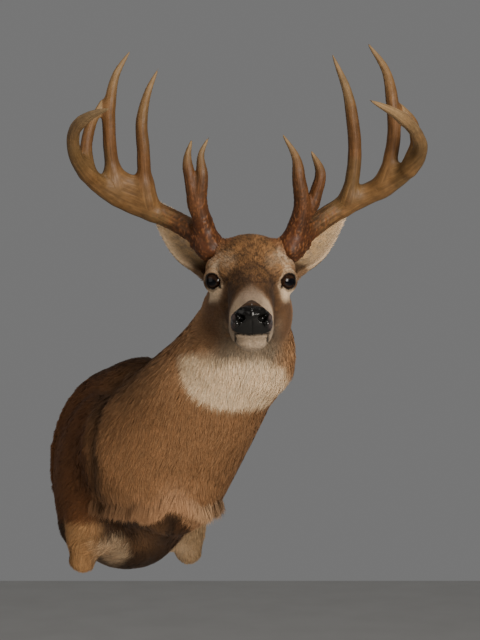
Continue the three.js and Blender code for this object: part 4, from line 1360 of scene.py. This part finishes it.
# ---------------------------------------------------------------- coat
# Tuft sizes in millimetres: length, width, lift of the tip, and how often tufts cover the skin.
TUFTS = {
    "muzzle": (4.2, 0.60, 0.7, 2.6),
    "face": (7.5, 0.75, 1.3, 3.6),
    "neck": (24.0, 1.20, 3.8, 6.5),
    "trunk": (24.0, 1.25, 3.8, 6.0),
    "legs": (14.0, 1.00, 3.0, 5.0),
    "ear": (8.5, 0.75, 1.3, 3.6),
}


GROUPS = ("face", "crown", "ears", "throat", "neck", "shoulder_right", "shoulder_left", "flanks",
          "brisket_fringe")
GROUP_NUMBER = {name: number for number, name in enumerate(GROUPS)}
# The most tufts in one piece, at three triangles a tuft.
PIECE_TUFTS = 62000
# Locks along the brisket's edge, and how far above its root each takes its colour, in millimetres.
FRINGE_LOCKS = 14000
LOCK_COLOUR_RISE = 22.0
# The size of a tuft's patch on the map of the hide, and its corners there.
TUFT_PATCH = 0.003
PATCH_CORNERS = np.array(((0, 0), (1, 0), (0.1, 0.5), (0.9, 0.5), (0.5, 1)))


def curl_share(p):
    """1 in the long curled hair of the whorl, 0 away from it."""
    return smooth(60, 44, from_whorl(p)) * (p[:, 2] < -104)


def tuft_sizes(p):
    """Length, width, lift and cover of the tufts at each point, as four columns."""
    q = in_head(p)
    m = mirrored(q)
    head, trunk = zones(p)
    kind = {key: np.array(value) for key, value in TUFTS.items()}
    size = mix(kind["neck"], kind["trunk"], trunk[:, None])
    on_face = mix(kind["face"], kind["muzzle"], smooth(60, 150, m[:, 1])[:, None])
    back = smooth(0, -70, m[:, 1])[:, None]
    on_face = on_face * (1 + back * np.array((0.9, 0.3, 0.9, 0.1)))
    size = mix(size, on_face, head[:, None])
    size = mix(size, kind["legs"], smooth(-135, -175, in_trunk(p)[:, 2])[:, None])
    ears = ear_share(p)[0]
    butt = smooth(60, 35, np.linalg.norm(m - EAR_BASE, axis=1))
    size = mix(size, kind["ear"], np.maximum(ears, butt)[:, None])
    from_eye = eye_parts(q)[2]
    size[:, :3] *= mix(0.45, 1.0, smooth(24, 40, from_eye))[:, None]
    size[:, :3] *= mix(0.5, 1.0, smooth(-8, -60, p[:, 1]))[:, None]
    curl = curl_share(p)
    size[:, :2] *= mix(np.array((1.0, 1.0)), np.array((1.6, 0.85)), curl[:, None])
    return size


def bare(p):
    """True where no hair grows: lids, nose, lips, under the antlers and against the board."""
    q = in_head(p)
    m = mirrored(q)
    lid, depth, from_eye = eye_parts(q)[:3]
    inside_eye = (lid < 2.6) & (from_eye < 27) & (depth > -2)
    nose = pad_edge(m) > -0.6
    lips = (np.abs(m[:, 2] - mouth_height(m)) < 1.3) & (m[:, 1] > 108)
    burr = np.linalg.norm(m - (80, -78, 50), axis=1) < 17
    wall = p[:, 1] > -3
    nostril = (m[:, 1] > 166) & (np.abs(m[:, 0] - 20) < 12) & (m[:, 2] > -14) & (m[:, 2] < 4)
    return inside_eye | nose | lips | burr | wall | nostril


def plant(points, normals, quads, count, seed):
    """Roots spread over the skin by how much hair each place carries."""
    rng = np.random.default_rng(seed)
    a, b, c, d = (points[quads[:, k]] for k in range(4))
    area = 0.5 * np.linalg.norm(np.cross(c - a, d - b), axis=1)
    middle = (a + b + c + d) / 4
    size = tuft_sizes(middle)
    weight = area * size[:, 3] / (size[:, 0] * size[:, 1])
    weight *= ~bare(middle)
    total = np.cumsum(weight)
    at = (np.arange(count) + rng.random(count)) / count * total[-1]
    face = np.minimum(np.searchsorted(total, at), len(quads) - 1)
    u, v = rng.random((2, count, 1))
    corner = [quads[face, k] for k in range(4)]

    def inside(values):
        return ((1 - u) * (1 - v) * values[corner[0]] + u * (1 - v) * values[corner[1]]
                + u * v * values[corner[2]] + (1 - u) * v * values[corner[3]])

    root, normal = inside(points), unit(inside(normals))
    keep = ~bare(root)
    return root[keep], normal[keep], rng


def comb_tufts(root, normal, size, rng, flow=None, spread=0.13):
    """Five corners for each tuft: two at the root, two halfway, one at the tip."""
    count = len(root)
    length, width, lift = (size[:, k:k + 1] for k in range(3))
    way = lie(root, normal) if flow is None else flow
    aside = np.cross(normal, way)
    way = unit(way + aside * rng.normal(0, spread, (count, 1)))
    aside = unit(np.cross(normal, way))
    roll = rng.normal(0, 0.35, (count, 1))
    edge = aside * np.cos(roll) + normal * np.sin(roll)
    length = length * rng.uniform(0.7, 1.15, (count, 1))
    lift = lift * rng.uniform(0.35, 1.25, (count, 1))
    half = 0.5 * width * rng.uniform(0.75, 1.25, (count, 1))
    base = root - normal * 0.5
    middle = root + way * length * 0.48 + normal * lift * 0.72
    tip = root + way * length + normal * lift
    corners = np.stack((base - edge * half * 0.8, base + edge * half * 0.8,
                        middle - edge * half, middle + edge * half, tip), 1)
    corners[:, :, 1] = np.minimum(corners[:, :, 1], -BOARD_GAP)
    leaning = unit(normal * np.cos(roll) - aside * np.sin(roll))
    bent = unit(0.75 * normal + 0.35 * leaning)
    return corners, np.repeat(bent[:, None, :], 5, 1)


def hang_locks(points, normals, rng, count, length):
    """Roots and sizes for the brisket's edge, where long locks hang free and draw to points."""
    edge = fringe_height(points)
    above = points[:, 2] - edge
    near = (above > 9) & (above < 25) & (points[:, 1] < -165) & (normals[:, 1] < 0.1)
    near &= points[:, 0] > -42
    chosen = rng.choice(np.flatnonzero(near), count)
    root, normal = points[chosen] + rng.normal(0, 2.2, (count, 3)) * (1, 0.3, 1), normals[chosen]
    lock = mottle(root * (1, 1, 0.2), 7.5, 61)
    long = above[chosen] * mix(0.82, 1.1, smooth(0.3, 0.7, lock))
    long = long + length * rng.uniform(0.0, 0.35, count)
    sway = (mottle(root * (1, 1, 0.1), 13, 62) - 0.5) * 1.3
    same = np.ones(count)
    flow = np.stack((sway + 0.25 * normal[:, 0], 0.35 * normal[:, 1] - 0.12, -same), 1)
    size = np.stack((long, same, 1.5 * same), 1)
    return root, normal, size, unit(flow)


def brisket_fringe(points, normals, tone, rng, count, length):
    """Corners, normals, colours and roots of the locks along the brisket's edge."""
    root, outward, size, flow = hang_locks(points, normals, rng, count, length)
    corners, bent = comb_tufts(root, outward, size, rng, flow, 0.10)
    shades = tuft_colours(root + np.array((0, 0, LOCK_COLOUR_RISE)), outward, tone, rng)
    shades = mix(shades, np.array(tone["fringe"]), 0.6)
    lobe = 0.4 * smooth(130, 175, root[:, 0])
    shades = mix(shades, np.array(tone["swirl"]), lobe[:, None, None])
    shades = np.clip(shades * np.array((1, 1, 1, 1, 1.3))[:, None], 0, 1)
    return corners, bent, shades, root


def tuft_colours(root, normal, tone, rng):
    """The colour of each tuft's corners: darker at the foot, partly the hair's banding and partly
    painted shade among the roots, lighter at the tip.
    """
    colour = markings(root, normal, tone)
    count = len(root)
    x, y, z = mirrored(in_head(root)).T
    grizzled = zones(root)[0] * smooth(130, 90, y) * smooth(-20, 10, z) * smooth(-110, -60, y)
    grizzled = np.maximum(grizzled, 0.5 * curl_share(root))
    light = colour.mean(1)
    jitter = 1 + rng.normal(0, 1, (count, 1)) * mix(0.075, 0.04, smooth(0.15, 0.3, light))[:, None]
    jitter *= mix(1.0, np.where(rng.random(count) < 0.42, 0.5, 1.3), 0.9 * grizzled)[:, None]
    warm = 1 + rng.normal(0, 0.03, (count, 1)) * np.array((1.0, 0.0, -1.0))
    colour = colour * np.clip(jitter, 0.4, 1.5) * warm
    pale = smooth(0.15, 0.3, light)
    # feet darker partly as the hair's own banding, partly as painted shade among the roots
    foot, middle, tip = mix(0.70, 0.86, pale), np.full(count, 0.97), mix(1.10, 1.02, pale)
    steps = np.stack((foot, foot, middle, middle, tip), 1)
    return np.clip(colour[:, None, :] * steps[:, :, None], 0, 1)


def coat_piece(name, corners, normals, colours, root, material):
    """One piece of the coat: a four-cornered and a three-cornered face for each tuft."""
    first = np.arange(len(corners))[:, None] * 5
    quads = first + np.array((1, 0, 2, 3))
    tips = first + np.array((3, 2, 4))
    uv = hide_map(root)[:, None, :] + TUFT_PATCH * (PATCH_CORNERS - 0.5)
    piece = mesh_object(name, corners.reshape(-1, 3), (quads, tips), colours.reshape(-1, 3),
                        uv.reshape(-1, 2), normals.reshape(-1, 3))
    wear(piece, material)


def coat_groups(root):
    """The part of the coat that each tuft belongs to."""
    head, trunk = zones(root)
    across, along, _ = in_trunk(root).T
    number = GROUP_NUMBER
    group = np.where(root[:, 1] < -330, number["throat"], number["neck"])
    on_trunk = np.where(across < 0, number["shoulder_right"], number["shoulder_left"])
    on_trunk = np.where(along < 60, number["flanks"], on_trunk)
    group = np.where(trunk > 0.5, on_trunk, group)
    on_head = np.where(in_head(root)[:, 1] > 20, number["face"], number["crown"])
    group = np.where(head > 0.5, on_head, group)
    return np.where(ear_share(root)[0] > 0.5, number["ears"], group)


# ---------------------------------------------------------------- stage
# Each light's place, what it shines at and its width, in metres; its power is a setting.
LIGHTS = {
    "key": ((1.35, -2.65, 0.10), (0.18, -0.35, 0.10), 1.1),
    "fill": ((-2.2, -1.6, 0.4), (0.1, -0.3, 0.1), 1.8),
    "top": ((0.35, -1.7, 1.9), (0.20, -0.4, 0.25), 0.9),
}
LAMP_COLOUR = (1.0, 0.94, 0.86)
ROOM_COLOUR = (0.83, 0.83, 0.83, 1)
FLOOR_SIZE = 16
# The camera's place in metres, its rise in degrees, and its lens and sensor in millimetres.
CAMERA_AT = (0.229, -2.038, 0.112)
CAMERA_RISE = 5
CAMERA_LENS = 56.25
CAMERA_SENSOR = 36


# ---------------------------------------------------------------- operators
class MOUNT_OT_stage(bpy.types.Operator):
    """Lays the floor and sets the lights and the camera"""
    bl_idname = "mount.stage"
    bl_label = "Stage"

    def execute(self, context):
        scene = context.scene
        settings = scene.mount_stage
        bpy.ops.mesh.primitive_plane_add(size=FLOOR_SIZE, location=(0, -2.0, settings.floor))
        floor = context.object
        floor.name = "floor"
        floor.data.materials.append(floor_finish())
        for name, (place, target, width) in LIGHTS.items():
            lamp = bpy.data.lights.new(name, "AREA")
            lamp.energy = getattr(settings, name)
            lamp.color = LAMP_COLOUR
            lamp.size = width
            light = bpy.data.objects.new(name, lamp)
            light.location = place
            light.rotation_euler = shining(np.array(target) - np.array(place))
            scene.collection.objects.link(light)
        world = bpy.data.worlds.new("room")
        world.use_nodes = True
        room = world.node_tree.nodes["Background"]
        room.inputs["Color"].default_value = ROOM_COLOUR
        room.inputs["Strength"].default_value = settings.around
        scene.world = world
        camera = bpy.data.objects.new("camera", bpy.data.cameras.new("camera"))
        camera.location = CAMERA_AT
        camera.rotation_euler = (math.radians(90 + CAMERA_RISE), 0, 0)
        camera.data.lens = CAMERA_LENS
        camera.data.sensor_width = CAMERA_SENSOR
        camera.data.clip_start = 0.01
        scene.collection.objects.link(camera)
        scene.camera = camera
        return {"FINISHED"}


def shining(way):
    """Turns for a light so that it shines along the given way."""
    x, y, z = unit(way)
    return math.acos(-z), 0.0, math.atan2(-x, y)


# Where the hide's net begins and ends along each axis, and where head and ears get fine cells.
HIDE_REACH = ((-262, 440, 62, 430), (-668, 14, -658, -292), (-290, 500, 192, 474))


class MOUNT_OT_hide(bpy.types.Operator):
    """Makes the skin: one surface over head, ears, neck, trunk and legs"""
    bl_idname = "mount.hide"
    bl_label = "Hide"

    def execute(self, context):
        sizes = context.scene.mount_sizes
        fine, coarse = sizes.face_cell / MM, sizes.body_cell / MM
        axes = [axis_steps(*reach, coarse, fine) for reach in HIDE_REACH]
        points, quads, spans = net(hide_distance, axes)
        points, normals = settle(hide_distance, points, 0.45 * spans, 3)
        normals[points[:, 1] > -0.8] = (0, 1, 0)
        colours = markings(points, normals, tones())
        way = lie(points, normals)
        comb = (points - 0.86 * way * (points * way).sum(1)[:, None]) * MM
        hide = mesh_object("hide", points, (quads,), colours, vectors={"comb": comb})
        wear(hide, hair_finish("short_hair", True))
        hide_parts("trunk", "neck_lower", "neck_upper", "head", "lower_jaw",
                    "upper_leg_right", "upper_leg_left", "ear_right", "ear_left")
        print("hide", len(points), "corners")
        return {"FINISHED"}


class MOUNT_OT_coat(bpy.types.Operator):
    """Covers the hide with combed tufts of hair"""
    bl_idname = "mount.coat"
    bl_label = "Coat"

    def execute(self, context):
        sizes = context.scene.mount_sizes
        tone = tones()
        points, normals, quads = read_mesh("hide")
        share = 1.0
        root, normal, rng = plant(points, normals, quads, int(sizes.tufts * share), sizes.seed)
        size = tuft_sizes(root)[:, :3] * (sizes.length, sizes.width / math.sqrt(share), 1)
        corners, bent = comb_tufts(root, normal, size, rng)
        coat = corners, bent, tuft_colours(root, normal, tone, rng), root
        fringe = brisket_fringe(points, normals, tone, rng, int(FRINGE_LOCKS * share),
                                sizes.fringe / MM)
        hanging = np.full(len(fringe[0]), GROUP_NUMBER["brisket_fringe"])
        group = np.concatenate((coat_groups(root), hanging))
        coat = [np.concatenate(both) for both in zip(coat, fringe)]
        material = hair_finish("hair_tufts", False)
        for k, name in enumerate(GROUPS):
            chosen = np.flatnonzero(group == k)
            parts = max(1, math.ceil(len(chosen) / PIECE_TUFTS))
            for n, some in enumerate(np.array_split(chosen, parts)):
                if len(some) == 0:
                    raise RuntimeError(f"the coat has no tufts for {name}")
                label = f"coat_{name}" if parts == 1 else f"coat_{name}_{n + 1}"
                coat_piece(label, *(values[some] for values in coat), material)
        print("coat", len(group), "tufts")
        return {"FINISHED"}


def nose_distance(p):
    """A thin cap of bare skin that stands a little over the hide and sinks into it at its edge."""
    d = hide_distance(p)
    edge = pad_edge(mirrored(in_head(p)))
    cap = d + mix(0.35, -0.55, smooth(-0.6, 1.6, edge))
    return np.maximum(np.maximum(cap, -d - 4.0), -edge - 0.6)


# Opposite corners of the nose's net in head axes, and its cell.
NOSE_REACH = ((-40, 144, -40), (40, 200, 18))
NOSE_CELL = 0.9


class MOUNT_OT_nose(bpy.types.Operator):
    """Makes the bare nose pad with its nostrils"""
    bl_idname = "mount.nose"
    bl_label = "Nose"

    def execute(self, context):
        reach = from_head(NOSE_REACH)
        low, high = reach.min(0) - 14, reach.max(0) + 14
        axes = [np.arange(l, h, NOSE_CELL) for l, h in zip(low, high)]
        points, quads, _ = net(nose_distance, axes)
        points = settle(nose_distance, points, 0.35, 2)[0]
        m = mirrored(in_head(points))
        x, y, z = m.T
        tone = tones()
        skin = Colouring(len(points), {**tone, "ground": 0.5 * np.array(tone["black"])}, "ground")
        skin.lay("dark", 0.8 * (smooth(178, 168, y) * smooth(0, 6, z)))
        # grey-pink wet skin at the wings' lower corners, partly a painted highlight
        wing = 0.8 * smooth(22, 29, x) * smooth(2, -6, z) * mottle(m, 5, 71)
        skin.lay("wet_skin_and_highlight", wing * smooth(164, 172, y))
        nose = mesh_object("nose", points, (quads,), skin.colour)
        wear(nose, nose_finish())
        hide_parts("nose_pad")
        return {"FINISHED"}


EYE_RINGS = 36
EYE_SIDES = 56


def eyeball():
    """Points of a ball of radius 1 about z, with its four- and three-cornered faces."""
    polar = np.linspace(0, math.pi, EYE_RINGS + 1)[1:-1, None]
    turn = np.linspace(0, 2 * math.pi, EYE_SIDES, endpoint=False)
    rings = np.stack((np.sin(polar) * np.cos(turn), np.sin(polar) * np.sin(turn),
                      np.cos(polar) * np.ones(EYE_SIDES)), 2).reshape(-1, 3)
    points = np.concatenate((((0, 0, 1),), rings, ((0, 0, -1),)))
    here = np.arange(EYE_SIDES)
    after = (here + 1) % EYE_SIDES
    first = 1 + EYE_SIDES * np.arange(EYE_RINGS - 2)[:, None]
    a, b = first + here, first + after
    quads = np.stack((a, a + EYE_SIDES, b + EYE_SIDES, b), 2).reshape(-1, 4)
    last = np.full(EYE_SIDES, len(points) - 1)
    top = np.stack((0 * here, 1 + here, 1 + after), 1)
    under = np.stack((last, last - EYE_SIDES + after, last - EYE_SIDES + here), 1)
    return points, quads, np.concatenate((top, under))


class MOUNT_OT_eyes(bpy.types.Operator):
    """Makes the two glass eyes"""
    bl_idname = "mount.eyes"
    bl_label = "Eyes"

    def execute(self, context):
        material = eye_finish(tones())
        local, quads, caps = eyeball()
        bulge = 1 + 0.035 * smooth(0.72, 0.95, local[:, 2])
        for side, sign in (("left", 1), ("right", -1)):
            placed = EYE_AT + EYE_RADIUS * bulge[:, None] * (
                local[:, :1] * NASAL + local[:, 1:2] * LID_UP + local[:, 2:] * GAZE)
            placed = placed * (sign, 1, 1)
            faces = (quads[:, ::sign], caps[:, ::sign])
            eye = mesh_object(f"eye_{side}_glass", from_head(placed), faces,
                              vectors={"look": local})
            wear(eye, material)
            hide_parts(f"eye_{side}")
        return {"FINISHED"}


class MOUNT_OT_antlers(bpy.types.Operator):
    """Makes both antlers with their grooves, beads and burrs"""
    bl_idname = "mount.antlers"
    bl_label = "Antlers"

    def execute(self, context):
        tone = tones()
        material = antler_finish()
        cell = context.scene.mount_sizes.antler_cell / MM * 1.0
        for side in ("right", "left"):
            points, quads, grain, *looks = antler_surface(side, cell)
            colours = antler_colours(points, tone, *looks)
            antler = mesh_object(f"antler_{side}", points, (quads,), colours,
                                 vectors={"grain": grain / 10})
            wear(antler, material)
            nodes = [f"antler_{side}_{name}" for name in TINES]
            nodes += [f"antler_{side}_beam_{name}" for name in ("base", "mid", "upper", "tip")]
            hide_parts(*nodes)
            print(antler.name, len(points), "corners")
        return {"FINISHED"}


class MOUNT_OT_board(bpy.types.Operator):
    """Finishes the back board and its hanger plate"""
    bl_idname = "mount.board"
    bl_label = "Board"

    def execute(self, context):
        finishes = {"back_board": wood_finish(tones()), "hanger_plate": steel_finish()}
        for name, material in finishes.items():
            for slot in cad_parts[name].material_slots:
                slot.material = material
        return {"FINISHED"}


class MOUNT_PT_panel(bpy.types.Panel):
    """The steps that build the mount"""
    bl_label = "Shoulder mount"
    bl_idname = "MOUNT_PT_panel"
    bl_space_type = "VIEW_3D"
    bl_region_type = "UI"
    bl_category = "Mount"

    def draw(self, context):
        layout = self.layout
        for step in STEPS:
            layout.operator(step.bl_idname)
        scene = context.scene
        for group in (scene.mount_sizes, scene.mount_colours, scene.mount_stage):
            box = layout.box()
            for key in type(group).__annotations__:
                box.prop(group, key)


STEPS = (MOUNT_OT_stage, MOUNT_OT_hide, MOUNT_OT_coat, MOUNT_OT_nose, MOUNT_OT_eyes,
         MOUNT_OT_antlers, MOUNT_OT_board)
SETTINGS = {"mount_sizes": MountSizes, "mount_colours": MountColours, "mount_stage": MountStage}
CLASSES = (*SETTINGS.values(), *STEPS, MOUNT_PT_panel)


def register():
    for cls in CLASSES:
        bpy.utils.register_class(cls)
    for name, group in SETTINGS.items():
        setattr(bpy.types.Scene, name, PointerProperty(type=group))


def unregister():
    for name in SETTINGS:
        delattr(bpy.types.Scene, name)
    for cls in reversed(CLASSES):
        bpy.utils.unregister_class(cls)


def main():
    """Builds the whole mount"""
    register()
    for step in STEPS:
        group, name = step.bl_idname.split(".")
        getattr(getattr(bpy.ops, group), name)()


if __name__ == "__main__":
    main()
